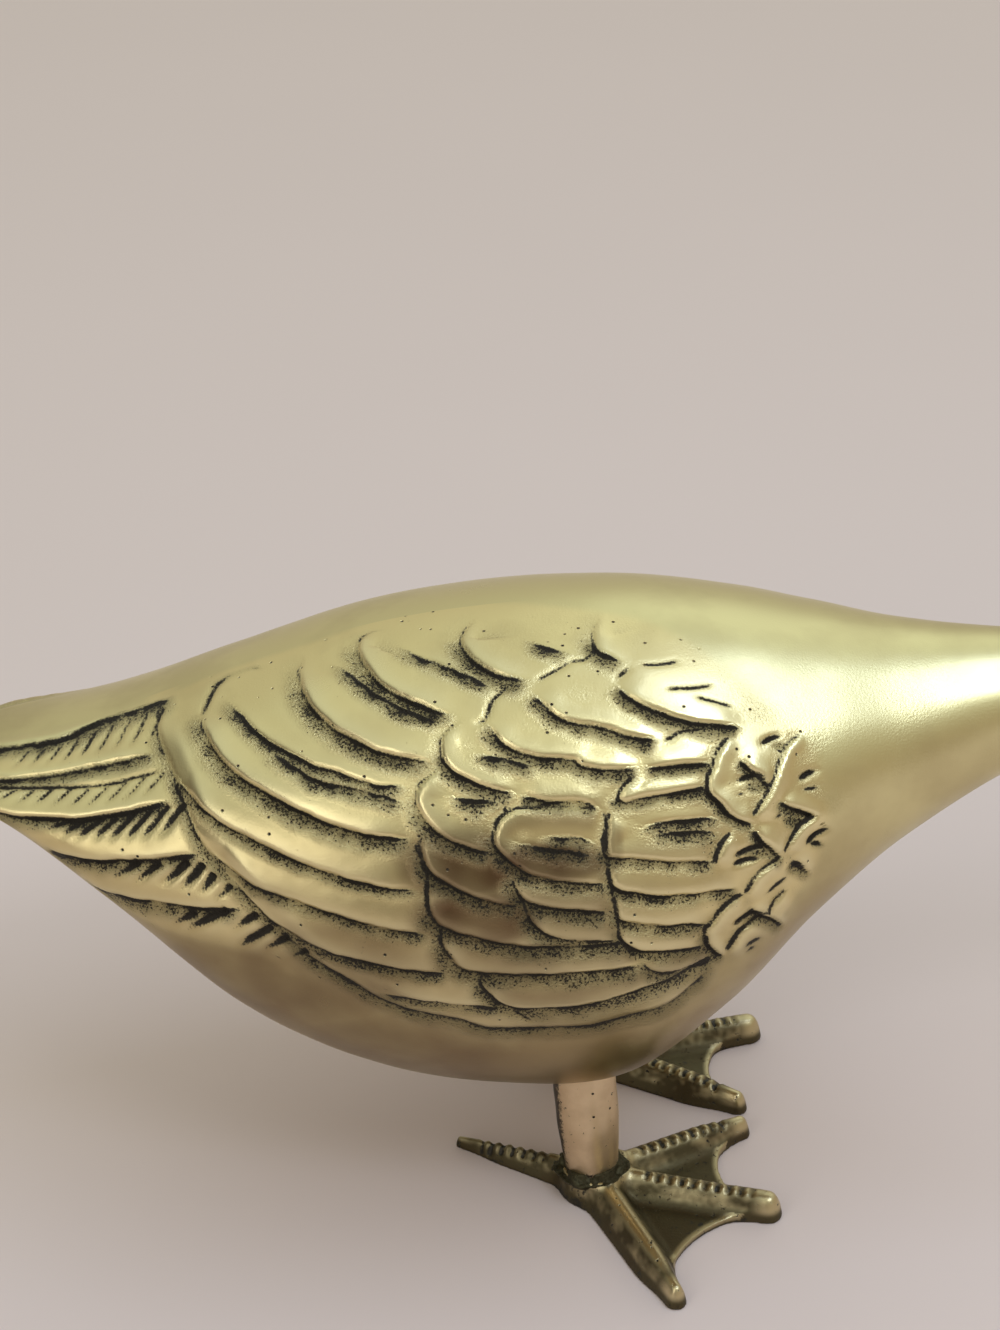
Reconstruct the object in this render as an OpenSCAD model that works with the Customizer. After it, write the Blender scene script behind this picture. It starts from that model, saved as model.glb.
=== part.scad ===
// Brass goose, standing with its neck stretched forward. The body is two hollow cast halves
// brazed together along the back and belly, on two round legs with webbed feet.
// +X points to the bill and +Z up. The soles stand on Z = 0, under the middle of the length.

/* [Tail] */
// Length of the tail fan behind the rump
tail_length = 20; // [12:1:40]
// Width of the tail fan at its end
tail_end_width = 12; // [6:1:30]
// Thickness of the tail fan at its end
tail_end_thickness = 2.5; // [1.5:0.1:6]

/* [Body] */
// Length from the tail fan to the root of the neck
body_length = 170; // [130:1:220]
// Greatest height, from belly to back
body_height = 103; // [85:1:130]
// Greatest width
body_width = 90; // [70:1:120]
// Height of the belly above the ground
belly_clearance = 21; // [14:0.5:30]
// Thickness of the cast wall
wall = 3; // [2:0.1:4.5]
// Width of the braze inside the seam
seam_width = 5; // [3:0.5:7]
// Depth of the braze inside the seam
seam_depth = 1.2; // [0.6:0.1:1.8]

/* [Wings] */
// Length of a wing
wing_length = 124; // [90:1:140]
// Depth of a wing, from its lower edge to past the back
wing_depth = 94; // [70:1:110]
// Height of a wing's lower edge above the belly
wing_edge_height = 35; // [25:1:50]
// Distance from the root of the neck back to the middle of a wing
wing_setback = 77; // [65:1:90]
// How far a wing stands proud of the body
wing_lift = 1.6; // [0.5:0.1:3]
// Width of the slope round a wing's edge
wing_slope = 7; // [4:0.5:12]

/* [Neck and head] */
// Length of the neck
neck_length = 65; // [50:1:90]
// Height of the neck where it meets the head
neck_height = 18; // [15:0.5:24]
// Width of the neck where it meets the head
neck_width = 17.2; // [14:0.2:22]
// Rise of the neck from its root to the head
neck_rise = 19; // [5:1:35]
// Length of the head without the bill
head_length = 32; // [24:1:42]
// Greatest height of the head
head_height = 23.5; // [20:0.5:30]
// Greatest width of the head
head_width = 21; // [18:0.5:28]
// Length of the bill
bill_length = 23; // [16:1:32]
// Height of the bill at its base
bill_height = 14; // [11:0.5:17]
// Width of the bill at its base
bill_width = 14.5; // [11:0.5:18]

/* [Legs] */
// Diameter of a leg at the belly
leg_d = 12.4; // [11:0.1:14.5]
// Diameter of a leg at the foot
leg_foot_d = 10.8; // [9:0.1:11.5]
// Length of a leg's taper above the foot
leg_taper = 13; // [8:0.5:14]
// Distance between the two legs' axes at the ground
leg_spacing = 42; // [40:1:56]
// Distance from the root of the neck back to the legs at the ground
leg_setback = 56; // [50:1:70]
// Lean of the legs, with the feet ahead
leg_lean = 5; // [0:0.5:8]
// Length of a leg inside the belly wall
leg_insert = 7; // [5:0.5:9]
// Diameter of the stud in a leg
stud_d = 5; // [4:0.5:6]
// Length of the stud inside the leg
stud_in_leg = 12; // [8:1:16]
// Thickness of the bush round the leg inside the belly
bush_wall = 3; // [2:0.1:5]
// Thickness of the bush above the leg
bush_cap = 8; // [5:0.5:12]
// Gap round a leg or a stud in its hole
fit_gap = 0.05; // [0.02:0.01:0.15]

/* [Feet] */
// Length of the outer toe from the leg's axis
outer_toe_length = 39.5; // [34:0.5:48]
// Angle of the outer toe from straight ahead
outer_toe_angle = 67; // [52:1:72]
// Length of the middle toe from the leg's axis
middle_toe_length = 38; // [32:0.5:46]
// Angle of the middle toe, outwards from straight ahead
middle_toe_angle = 14; // [0:1:18]
// Angle of the inner toe, inwards from straight ahead
inner_toe_angle = 29; // [28:1:45]
// Length of the hind toe from the leg's axis
hind_toe_length = 31.5; // [24:0.5:36]
// Angle of the right foot's hind toe, inwards from straight back
right_hind_toe_angle = 26; // [15:1:35]
// Angle of the left foot's hind toe, outwards from straight back
left_hind_toe_angle = 10; // [0:1:25]
// Gap between the two feet's inner toes
toe_gap = 3; // [2:0.5:6]
// Width of a front toe at its round end
toe_end_d = 6.8; // [5:0.2:8]
// Height of a front toe at its round end
toe_end_height = 5.8; // [4.5:0.1:7]
// Width and height of the hind toe at its round end
hind_end_d = 4.2; // [3:0.2:6]
// Width of a toe at the foot's hub
toe_root_d = 8; // [6:0.2:9]
// Thickness of the webs
web_thickness = 2; // [1.2:0.1:3]
// Depth of the curve in a web's front edge
web_scoop = 6; // [2:0.5:8]
// Width of the foot's hub round the leg
hub_rim = 3.1; // [3:0.1:5]
// Height of the foot's hub
hub_height = 6; // [5:0.5:8]
// Thickness of the hub under the leg's socket
socket_floor = 2; // [1:0.5:3]
// Width of the braze round the foot of a leg
braze_width = 2; // [1:0.1:3]
// Height of the braze round the foot of a leg
braze_height = 2.5; // [2:0.5:6]

/* [Hidden] */

brass = [0.78, 0.70, 0.44];
leg_brass = [0.74, 0.60, 0.42];
foot_brass = [0.52, 0.45, 0.26];
braze_alloy = [0.40, 0.38, 0.24];
steel = [0.62, 0.62, 0.60];

ring_pitch = 5;     // greatest distance between two rings of the casting's skin
skin_steps = 28;    // steps of the outer skin from back to belly
cavity_steps = 12;  // steps of the cavity's skin from back to belly
cavity_least = 2;   // the cavity ends where its half height or half width is less than this
wing_fade = 35;     // a wing sinks into the back over this many degrees from the seam
wing_tilt = 6;      // a wing's long axis drops this many degrees towards the neck
round_fn = 64;
toe_fn = 20;
beyond = 200;       // reach of a cutting solid

total_length = tail_length + body_length + neck_length + head_length + bill_length;
rump_x = tail_length - total_length / 2;
neck_x = rump_x + body_length;
head_x = neck_x + neck_length;
bill_x = head_x + head_length;

// Side view and plan of the body: share of its length, back and belly as shares of its height,
// and width as a share of its greatest width
body_rows = [
    [0, 0.71, 0.605, 0.44],
    [0.12, 0.765, 0.42, 0.62],
    [0.265, 0.86, 0.18, 0.81],
    [0.41, 0.945, 0.05, 0.945],
    [0.56, 0.99, 0, 1],
    [0.705, 1, 0.02, 0.98],
    [0.825, 0.98, 0.19, 0.855],
    [0.91, 0.955, 0.365, 0.7],
    [1, 0.93, 0.51, 0.52]];
// Tail: share of its length from the end, share of the way from its end section to the rump's
// height and width
tail_rows = [[0, 0, 0], [0.45, 0.36, 0.58]];
// Neck: share of its length, share of its rise, share of the root's section that is left
neck_rows = [[0.31, 0.34, 0.41], [0.54, 0.56, 0.16], [0.77, 0.77, 0.03], [1, 1, 0]];
// Head: share of its length, crown and throat above and below the neck's axis as shares of
// the head's height, share of its width
head_rows = [
    [0.31, 0.6, 0.28, 0.905],
    [0.56, 0.745, 0.255, 1],
    [0.81, 0.725, 0.21, 0.98],
    [1, 0.6, 0.2, 0.85]];
// Bill: the same, as shares of the bill's own sizes
bill_rows = [
    [0.26, 0.68, 0.32, 1],
    [0.65, 0.3, 0.36, 0.9],
    [0.9, 0.06, 0.34, 0.7],
    [1, -0.06, 0.27, 0.45]];

rump = body_rows[0];
root = body_rows[len(body_rows) - 1];
rump_axis_z = belly_clearance + body_height * (rump[1] + rump[2]) / 2;
rump_half_height = body_height * (rump[1] - rump[2]) / 2;
rump_half_width = body_width * rump[3] / 2;
root_axis_z = belly_clearance + body_height * (root[1] + root[2]) / 2;
root_half_height = body_height * (root[1] - root[2]) / 2;
root_half_width = body_width * root[3] / 2;
head_axis_z = root_axis_z + neck_rise;

function mix(a, b, share) = a + (b - a) * share;
function ease(share) = let(s = min(1, max(0, share))) s * s * (3 - 2 * s);

// A station of the skin: place along X, axis height, half height and half width
function tail_station(row) = [
    rump_x - tail_length * (1 - row[0]),
    rump_axis_z,
    mix(tail_end_thickness / 2, rump_half_height, row[1]),
    mix(tail_end_width / 2, rump_half_width, row[2])];
function body_station(row) = [
    rump_x + body_length * row[0],
    belly_clearance + body_height * (row[1] + row[2]) / 2,
    body_height * (row[1] - row[2]) / 2,
    body_width * row[3] / 2];
function neck_station(row) = [
    neck_x + neck_length * row[0],
    root_axis_z + neck_rise * row[1],
    mix(neck_height / 2, root_half_height, row[2]),
    mix(neck_width / 2, root_half_width, row[2])];
function head_station(row, x, length, height, width) = [
    x + length * row[0],
    head_axis_z + height * (row[1] - row[2]) / 2,
    height * (row[1] + row[2]) / 2,
    width * row[3] / 2];
stations = concat(
    [for (row = tail_rows) tail_station(row)],
    [for (row = body_rows) body_station(row)],
    [for (row = neck_rows) neck_station(row)],
    [for (row = head_rows) head_station(row, head_x, head_length, head_height, head_width)],
    [for (row = bill_rows) head_station(row, bill_x, bill_length, bill_height, bill_width)]);
last_station = len(stations) - 1;

// Smooth curves through the stations
function slope(i, k) =
    let(a = stations[max(0, i - 1)], b = stations[min(last_station, i + 1)])
    (b[k] - a[k]) / (b[0] - a[0]);
function curve(i, f, k) =
    let(a = stations[i], b = stations[i + 1], run = b[0] - a[0])
    (1 + 2 * f) * pow(1 - f, 2) * a[k] + f * pow(1 - f, 2) * run * slope(i, k)
    + f * f * (3 - 2 * f) * b[k] + f * f * (f - 1) * run * slope(i + 1, k);
function section(i, f) = [
    mix(stations[i][0], stations[i + 1][0], f),
    for (k = [1 : 3]) curve(i, f, k)];
function span_at(x, i = 0) =
    i == last_station - 1 || x < stations[i + 1][0] ? i : span_at(x, i + 1);
function section_at(x) =
    let(i = span_at(x), a = stations[i][0], b = stations[i + 1][0]) section(i, (x - a) / (b - a));

rings = [
    for (i = [0 : last_station - 1])
        let(steps = ceil((stations[i + 1][0] - stations[i][0]) / ring_pitch))
        for (s = [0 : steps - 1]) section(i, s / steps),
    stations[last_station]];
last_ring = len(rings) - 1;

// The cavity follows the skin one wall inside it, from the rump to the base of the bill
function hollow(i) =
    min(rings[i][2], rings[i][3]) >= wall + cavity_least && rings[i][0] <= bill_x;
function first_hollow(i = 0) = hollow(i) ? i : first_hollow(i + 1);
function last_hollow(i) = hollow(i + 1) ? last_hollow(i + 1) : i;
cavity_first = first_hollow();
cavity_last = last_hollow(cavity_first);

// A wing is an oval seen from the side, raised with a sloping edge
wing_x = neck_x - wing_setback;
wing_z = belly_clearance + wing_edge_height + wing_depth / 2;
function wing_raise(x, z, angle) =
    let(dx = x - wing_x, dz = z - wing_z,
        along = dx * cos(wing_tilt) - dz * sin(wing_tilt),
        up = dx * sin(wing_tilt) + dz * cos(wing_tilt),
        inside = 1 - norm([2 * along / wing_length, 2 * up / wing_depth]))
    wing_lift * ease(inside * wing_depth / 2 / wing_slope) * ease(angle / wing_fade);

// Points of the right half: the angle runs from 0 at the back to 180 at the belly
function skin_point(ring, angle) =
    let(z = ring[1] + ring[2] * cos(angle),
        toward = [-sin(angle) / ring[3], cos(angle) / ring[2]],
        raise = wing_raise(ring[0], z, angle) / norm(toward))
    [ring[0], -ring[3] * sin(angle) + raise * toward[0], z + raise * toward[1]];
function cavity_point(ring, angle) =
    [ring[0], -(ring[3] - wall) * sin(angle), ring[1] + (ring[2] - wall) * cos(angle)];
// The cavity's first and last steps are as wide as half the seam's braze
function cavity_angle(ring, j) =
    let(edge = asin(min(0.7, seam_width / 2 / (ring[3] - wall))))
    j == 0 ? 0
    : j == cavity_steps ? 180
    : edge + (180 - 2 * edge) * (j - 1) / (cavity_steps - 2);
function cavity_ring(i) = [for (j = [0 : cavity_steps])
    cavity_point(rings[i], cavity_angle(rings[i], j))];

skin_points = [for (ring = rings) for (j = [0 : skin_steps]) skin_point(ring, 180 * j / skin_steps)];
cavity_points = [for (i = [cavity_first : cavity_last]) each cavity_ring(i)];
function skin(i, j) = i * (skin_steps + 1) + j;
function cavity(i, j, start = len(skin_points)) = start + (i - cavity_first) * (cavity_steps + 1) + j;

function quad(a, b, c, d) = [[a, b, c], [a, c, d]];
function flipped(faces) = [for (f = faces) [f[2], f[1], f[0]]];

skin_faces = [
    for (i = [0 : last_ring - 1]) for (j = [0 : skin_steps - 1])
        each quad(skin(i, j), skin(i + 1, j), skin(i + 1, j + 1), skin(i, j + 1)),
    for (j = [1 : skin_steps - 1]) [skin(0, 0), skin(0, j), skin(0, j + 1)],
    for (j = [1 : skin_steps - 1]) [skin(last_ring, 0), skin(last_ring, j + 1), skin(last_ring, j)]];
function cavity_faces(start) = [
    for (i = [cavity_first : cavity_last - 1]) for (j = [0 : cavity_steps - 1])
        each quad(cavity(i, j, start), cavity(i + 1, j, start),
                  cavity(i + 1, j + 1, start), cavity(i, j + 1, start)),
    for (j = [1 : cavity_steps - 1])
        [cavity(cavity_first, 0, start), cavity(cavity_first, j, start),
         cavity(cavity_first, j + 1, start)],
    for (j = [1 : cavity_steps - 1])
        [cavity(cavity_last, 0, start), cavity(cavity_last, j + 1, start),
         cavity(cavity_last, j, start)]];

// The flat faces where the halves meet, on both sides of the cavity and past its two ends
function back(i) = skin(i, 0);
function belly(i) = skin(i, skin_steps);
function roof(i) = cavity(i, 0);
function floor_line(i) = cavity(i, cavity_steps);
seam_faces = [
    for (i = [0 : last_ring - 1]) if (i < cavity_first - 1 || i > cavity_last)
        each quad(back(i + 1), back(i), belly(i), belly(i + 1)),
    for (i = [cavity_first : cavity_last - 1]) each concat(
        quad(back(i + 1), back(i), roof(i), roof(i + 1)),
        quad(floor_line(i + 1), floor_line(i), belly(i), belly(i + 1))),
    let(a = cavity_first, o = a - 1) each [
        [back(a), back(o), roof(a)], [roof(a), back(o), belly(o)],
        [roof(a), belly(o), floor_line(a)], [floor_line(a), belly(o), belly(a)]],
    let(b = cavity_last, o = b + 1) each [
        [back(o), back(b), roof(b)], [back(o), roof(b), belly(o)],
        [roof(b), floor_line(b), belly(o)], [floor_line(b), belly(b), belly(o)]]];

module half_casting() {
    polyhedron(
        concat(skin_points, cavity_points),
        concat(skin_faces, flipped(cavity_faces(len(skin_points))), seam_faces),
        convexity = 6);
}

module half_cavity() {
    flat = [for (i = [cavity_first : cavity_last - 1])
        each quad(cavity(i + 1, 0, 0), cavity(i, 0, 0),
                  cavity(i, cavity_steps, 0), cavity(i + 1, cavity_steps, 0))];
    polyhedron(cavity_points, concat(cavity_faces(0), flat), convexity = 4);
}

// Legs: heights along a leg's axis, which leans back from the foot's middle on the ground
leg_x = neck_x - leg_setback;
leg_y = leg_spacing / 2;
leg_r = leg_d / 2;
leg_foot_r = leg_foot_d / 2;
stud_r = stud_d / 2;
bush_r = leg_r + bush_wall;
function belly_z(x, y, skin_wall) =
    let(s = section_at(x)) s[1] - (s[2] - skin_wall) * sqrt(1 - pow(y / (s[3] - skin_wall), 2));
function leg_meets(skin_wall, z, turns = 4) =
    turns == 0 ? z
    : leg_meets(skin_wall, belly_z(leg_x - z * tan(leg_lean), leg_y, skin_wall), turns - 1);
leg_bottom = socket_floor;
leg_top = leg_meets(wall, belly_clearance) / cos(leg_lean) + leg_insert;
bush_top = leg_top + bush_cap;
bush_bottom = leg_meets(0, belly_clearance) / cos(leg_lean) - bush_r;

module on_leg() {
    translate([leg_x, -leg_y, 0])
        rotate([0, -leg_lean, 0])
            children();
}

module along_leg(from, to, radius) {
    translate([0, 0, from])
        cylinder(r = radius, h = to - from, $fn = round_fn);
}

module body_half() {
    difference() {
        half_casting();
        on_leg()
            along_leg(leg_bottom, leg_top, leg_r + fit_gap);
    }
}

// A round rod, narrower at the foot
module leg() {
    difference() {
        on_leg()
            rotate_extrude($fn = round_fn)
                polygon([
                    [0, leg_bottom],
                    [leg_foot_r, leg_bottom],
                    [leg_foot_r, hub_height],
                    [leg_r, hub_height + leg_taper],
                    [leg_r, leg_top],
                    [0, leg_top]]);
        on_leg()
            along_leg(leg_top - stud_in_leg, bush_top, stud_r + fit_gap);
    }
}

module leg_stud() {
    on_leg()
        along_leg(leg_top - stud_in_leg, bush_top, stud_r);
}

module leg_bush() {
    difference() {
        intersection() {
            half_cavity();
            on_leg()
                along_leg(bush_bottom, bush_top, bush_r);
        }
        on_leg()
            along_leg(bush_bottom, leg_top, leg_r + fit_gap);
        on_leg()
            along_leg(leg_bottom, bush_top + 1, stud_r + fit_gap);
    }
}

// Feet: toes and webs round the leg's axis, with angles counted outwards from straight ahead
toe_end_r = toe_end_d / 2;
toe_root_r = toe_root_d / 2;
hub_r = leg_foot_r + hub_rim;
braze_r = leg_foot_r + braze_width;
braze_top_r = leg_foot_r + (leg_r - leg_foot_r) * braze_height / leg_taper;
toe_crest = hub_height - toe_root_r;
inner_toe_reach = (leg_y - toe_gap / 2 - toe_end_r) / sin(inner_toe_angle);
outer_toe_end = polar(outer_toe_length - toe_end_r, outer_toe_angle);
middle_toe_end = polar(middle_toe_length - toe_end_r, middle_toe_angle);
inner_toe_end = polar(inner_toe_reach, -inner_toe_angle);
hind_toe_reach = hind_toe_length - hind_end_d / 2;
right_hind_toe_end = polar(hind_toe_reach, 180 + right_hind_toe_angle);
left_hind_toe_end = polar(hind_toe_reach, 180 - left_hind_toe_angle);
function polar(radius, angle) = [radius * cos(angle), -radius * sin(angle)];

module toe(end, end_r, end_height) {
    hull() {
        translate([0, 0, toe_crest])
            sphere(r = toe_root_r, $fn = toe_fn);
        translate([end[0], end[1], end_height - end_r])
            sphere(r = end_r, $fn = toe_fn);
    }
}

// A web runs from the hub between two toes, with a scooped front edge
module web(from, to) {
    middle = (from + to) / 2;
    scoop_at = middle * (1 - web_scoop / norm(middle));
    edge = [for (s = [0 : 0.125 : 1])
        from * pow(1 - s, 2) + (scoop_at * 2 - middle) * 2 * s * (1 - s) + to * pow(s, 2)];
    linear_extrude(web_thickness)
        polygon(concat([[0, 0]], edge));
}

module foot(hind_toe_end) {
    difference() {
        intersection() {
            translate([leg_x, -leg_y, 0]) {
                toe(outer_toe_end, toe_end_r, toe_end_height);
                toe(middle_toe_end, toe_end_r, toe_end_height);
                toe(inner_toe_end, toe_end_r, toe_end_height);
                toe(hind_toe_end, hind_end_d / 2, hind_end_d);
                web(outer_toe_end, middle_toe_end);
                web(middle_toe_end, inner_toe_end);
                rotate([0, -leg_lean, 0])
                    along_leg(-hub_height, hub_height, hub_r);
            }
            translate([-beyond, -beyond, 0])
                cube([2 * beyond, 2 * beyond, beyond]);
        }
        on_leg()
            along_leg(hub_height, hub_height * 2, hub_r);
        on_leg()
            along_leg(leg_bottom, hub_height + 1, leg_foot_r + fit_gap);
    }
}

// A fillet with a hollow face, from the leg out onto the hub
module foot_braze() {
    face = [for (a = [0 : 15 : 90])
        [braze_r - (braze_r - braze_top_r) * sin(a), hub_height + braze_height * (1 - cos(a))]];
    on_leg()
        rotate_extrude($fn = round_fn)
            polygon(concat([[leg_foot_r, hub_height]], face));
}

// Two runs of braze inside the seam, along the roof and the floor of the cavity
module seam_run(j, side, depth) {
    run = [for (i = [cavity_first : cavity_last])
        let(middle = cavity_ring(i)[j], edge = cavity_ring(i)[side])
        each [middle, edge, middle + [0, 0, depth], [edge[0], -edge[1], edge[2]]]];
    turns = len(run) / 4 - 1;
    sides = [for (i = [0 : turns - 1]) for (k = [0 : 3])
        each quad(4 * i + k, 4 * i + 4 + k, 4 * i + 4 + (k + 1) % 4, 4 * i + (k + 1) % 4)];
    ends = concat(quad(0, 1, 2, 3), quad(4 * turns + 3, 4 * turns + 2, 4 * turns + 1, 4 * turns));
    polyhedron(run, depth < 0 ? concat(sides, ends) : flipped(concat(sides, ends)), convexity = 4);
}

module right_body_shell() {
    color(brass)
        body_half();
}

module left_body_shell() {
    color(brass)
        mirror([0, 1, 0])
            body_half();
}

module seam_braze() {
    color(braze_alloy) {
        seam_run(0, 1, -seam_depth);
        seam_run(cavity_steps, cavity_steps - 1, seam_depth);
    }
}

module right_leg() {
    color(leg_brass)
        leg();
}

module left_leg() {
    color(leg_brass)
        mirror([0, 1, 0])
            leg();
}

module right_leg_stud() {
    color(steel)
        leg_stud();
}

module left_leg_stud() {
    color(steel)
        mirror([0, 1, 0])
            leg_stud();
}

module right_leg_bush() {
    color(brass)
        leg_bush();
}

module left_leg_bush() {
    color(brass)
        mirror([0, 1, 0])
            leg_bush();
}

module right_foot() {
    color(foot_brass)
        foot(right_hind_toe_end);
}

module left_foot() {
    color(foot_brass)
        mirror([0, 1, 0])
            foot(left_hind_toe_end);
}

module right_foot_braze() {
    color(braze_alloy)
        foot_braze();
}

module left_foot_braze() {
    color(braze_alloy)
        mirror([0, 1, 0])
            foot_braze();
}

right_body_shell();
left_body_shell();
seam_braze();
right_leg();
left_leg();
right_leg_stud();
left_leg_stud();
right_leg_bush();
left_leg_bush();
right_foot();
left_foot();
right_foot_braze();
left_foot_braze();
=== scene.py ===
import math

import bpy
import numpy as np
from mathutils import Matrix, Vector, noise


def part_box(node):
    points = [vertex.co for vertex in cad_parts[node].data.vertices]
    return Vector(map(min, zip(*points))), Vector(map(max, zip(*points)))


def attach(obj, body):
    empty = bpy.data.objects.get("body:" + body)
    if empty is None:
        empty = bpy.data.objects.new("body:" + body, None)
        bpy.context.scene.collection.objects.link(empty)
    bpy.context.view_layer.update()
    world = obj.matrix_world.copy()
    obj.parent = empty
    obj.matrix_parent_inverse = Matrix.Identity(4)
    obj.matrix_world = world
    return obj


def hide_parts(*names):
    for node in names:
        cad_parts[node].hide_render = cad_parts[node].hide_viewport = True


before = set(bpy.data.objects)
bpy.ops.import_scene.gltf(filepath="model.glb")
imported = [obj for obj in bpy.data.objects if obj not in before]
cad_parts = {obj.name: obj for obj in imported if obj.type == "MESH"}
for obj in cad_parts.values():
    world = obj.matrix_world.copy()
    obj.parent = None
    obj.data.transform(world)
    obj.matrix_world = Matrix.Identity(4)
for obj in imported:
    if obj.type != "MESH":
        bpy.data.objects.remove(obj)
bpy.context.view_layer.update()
mm = 0.001  # sizes in this file are millimetres, turned into metres where a mesh is made
print("frame loaded with", len(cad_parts), "nodes")

# The photo's view. Feather lines further down are pixels of this picture.
photoView = {
    "wide": 1000,
    "high": 1330,
    "place": (-40.0, -516.7, 407.8),
    "tilt": 60.0,  # degrees up from looking straight down
    "lens": 85.0,
    "sensor": 36.0,
    "grazing": (0.02, 0.1),  # how far skin must turn to the camera to be drawn on, and the run it takes
    "seen": 0.2,
}


def toPhoto(points):
    tilt = math.radians(photoView["tilt"])
    ahead = np.array([0, math.sin(tilt), -math.cos(tilt)])
    up = np.array([0, math.cos(tilt), math.sin(tilt)])
    focal = photoView["lens"] / photoView["sensor"] * photoView["high"]
    away = points - np.array(photoView["place"])
    depth = away @ ahead
    u = photoView["wide"] / 2 + focal * away[..., 0] / depth
    v = photoView["high"] / 2 - focal * (away @ up) / depth
    return u, v


def addCamera():
    data = bpy.data.cameras.new("photoCamera")
    data.lens = photoView["lens"]
    data.sensor_width = photoView["sensor"]
    camera = bpy.data.objects.new("photoCamera", data)
    camera.location = Vector(photoView["place"]) * mm
    camera.rotation_euler = (math.radians(photoView["tilt"]), 0, 0)
    bpy.context.scene.collection.objects.link(camera)
    bpy.context.scene.camera = camera


addCamera()


# small helpers

def mix(a, b, share):
    return a + (b - a) * share


def ease(share):
    s = np.clip(share, 0, 1)
    return s * s * (3 - 2 * s)


def blurred(grid, reach):
    # a soft average over the neighbours, along both directions of a grid
    steps = np.arange(-3 * reach, 3 * reach + 1)
    weights = np.exp(-0.5 * (steps / reach) ** 2)
    weights /= weights.sum()
    for axis in (0, 1):
        pads = [(3 * reach, 3 * reach) if a == axis else (0, 0) for a in (0, 1)]
        wide = np.pad(grid, pads, mode="edge")
        size = grid.shape[axis]
        grid = sum(w * np.take(wide, range(k, k + size), axis) for k, w in enumerate(weights))
    return grid


def softLumps(points, size, seed):
    # soft lumps of about this size, between -1 and 1
    shift = Vector((seed, 2 * seed, 3 * seed))
    return np.array([noise.noise(Vector(p) / size + shift) for p in points])


def addPiece(name, points, faces, material, replaced, values=None, flat=None):
    mesh = bpy.data.meshes.new(name)
    mesh.from_pydata((np.asarray(points) * mm).tolist(), [], faces)
    smooth = np.ones(len(faces), bool)
    if flat is not None:
        smooth[flat] = False
    mesh.polygons.foreach_set("use_smooth", smooth)
    for key, numbers in (values or {}).items():
        mask = mesh.attributes.new(key, "FLOAT", "POINT")
        mask.data.foreach_set("value", np.asarray(numbers, np.float32))
    mesh.update()
    mesh.validate()
    piece = bpy.data.objects.new(name, mesh)
    bpy.context.scene.collection.objects.link(piece)
    mesh.materials.append(material)
    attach(piece, "root")
    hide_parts(replaced)


# node groups and materials

def put(tree, socket, value):
    # a link from another node, or a fixed number or colour
    if isinstance(value, bpy.types.NodeSocket):
        tree.links.new(value, socket)
    else:
        socket.default_value = (*value, 1) if isinstance(value, tuple) else value


def node(tree, kind, inputs=None, **settings):
    made = tree.nodes.new(kind)
    for key, value in settings.items():
        setattr(made, key, value)
    for key, value in (inputs or {}).items():
        put(tree, made.inputs[key], value)
    return made


def maths(tree, operation, *values):
    made = node(tree, "ShaderNodeMath", operation=operation)
    for socket, value in zip(made.inputs, values):
        put(tree, socket, value)
    return made.outputs[0]


def ranged(tree, value, low, high, toLow=0.0, toHigh=1.0):
    inputs = {"Value": value, "From Min": low, "From Max": high, "To Min": toLow, "To Max": toHigh}
    return node(tree, "ShaderNodeMapRange", inputs, interpolation_type="SMOOTHSTEP").outputs["Result"]


def mixed(tree, share, a, b):
    # two colours, each a socket or a fixed colour
    made = node(tree, "ShaderNodeMix", data_type="RGBA")
    for number, value in ((0, share), (6, a), (7, b)):
        put(tree, made.inputs[number], value)
    return made.outputs[2]


def cloudy(tree, scale, detail, roughness=0.5):
    # noise in the piece's own place
    place = node(tree, "ShaderNodeTexCoord").outputs["Object"]
    inputs = {"Vector": place, "Scale": scale, "Detail": detail, "Roughness": roughness}
    return node(tree, "ShaderNodeTexNoise", inputs).outputs["Fac"]


def newGroup(name, inputs, outputs):
    group = bpy.data.node_groups.new(name, "ShaderNodeTree")
    kinds = {"Color": "NodeSocketColor", "Normal": "NodeSocketVector"}
    for way, labels in (("INPUT", inputs), ("OUTPUT", outputs)):
        for label in labels:
            kind = kinds.get(label.split()[-1], "NodeSocketFloat")
            group.interface.new_socket(label, in_out=way, socket_type=kind)
    given = group.nodes.new("NodeGroupInput")
    out = group.nodes.new("NodeGroupOutput")
    return group, given.outputs, out.inputs


# grime in the pores of the casting: specks, denser where there is more dirt, and single dots
pores = {
    "level": 0.77, "dirtLowers": 0.30,  # there is a pit where the noise is over this level
    "drift": 0.2, "driftScale": 240.0,  # slow change of the level
    "soft": 0.07,                       # how far over the level a pit is full
    "dotScale": 330.0, "dotRadius": (0.07, 0.12), "dotChance": 0.5, "dotDirt": (0.05, 0.15),
}


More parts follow.
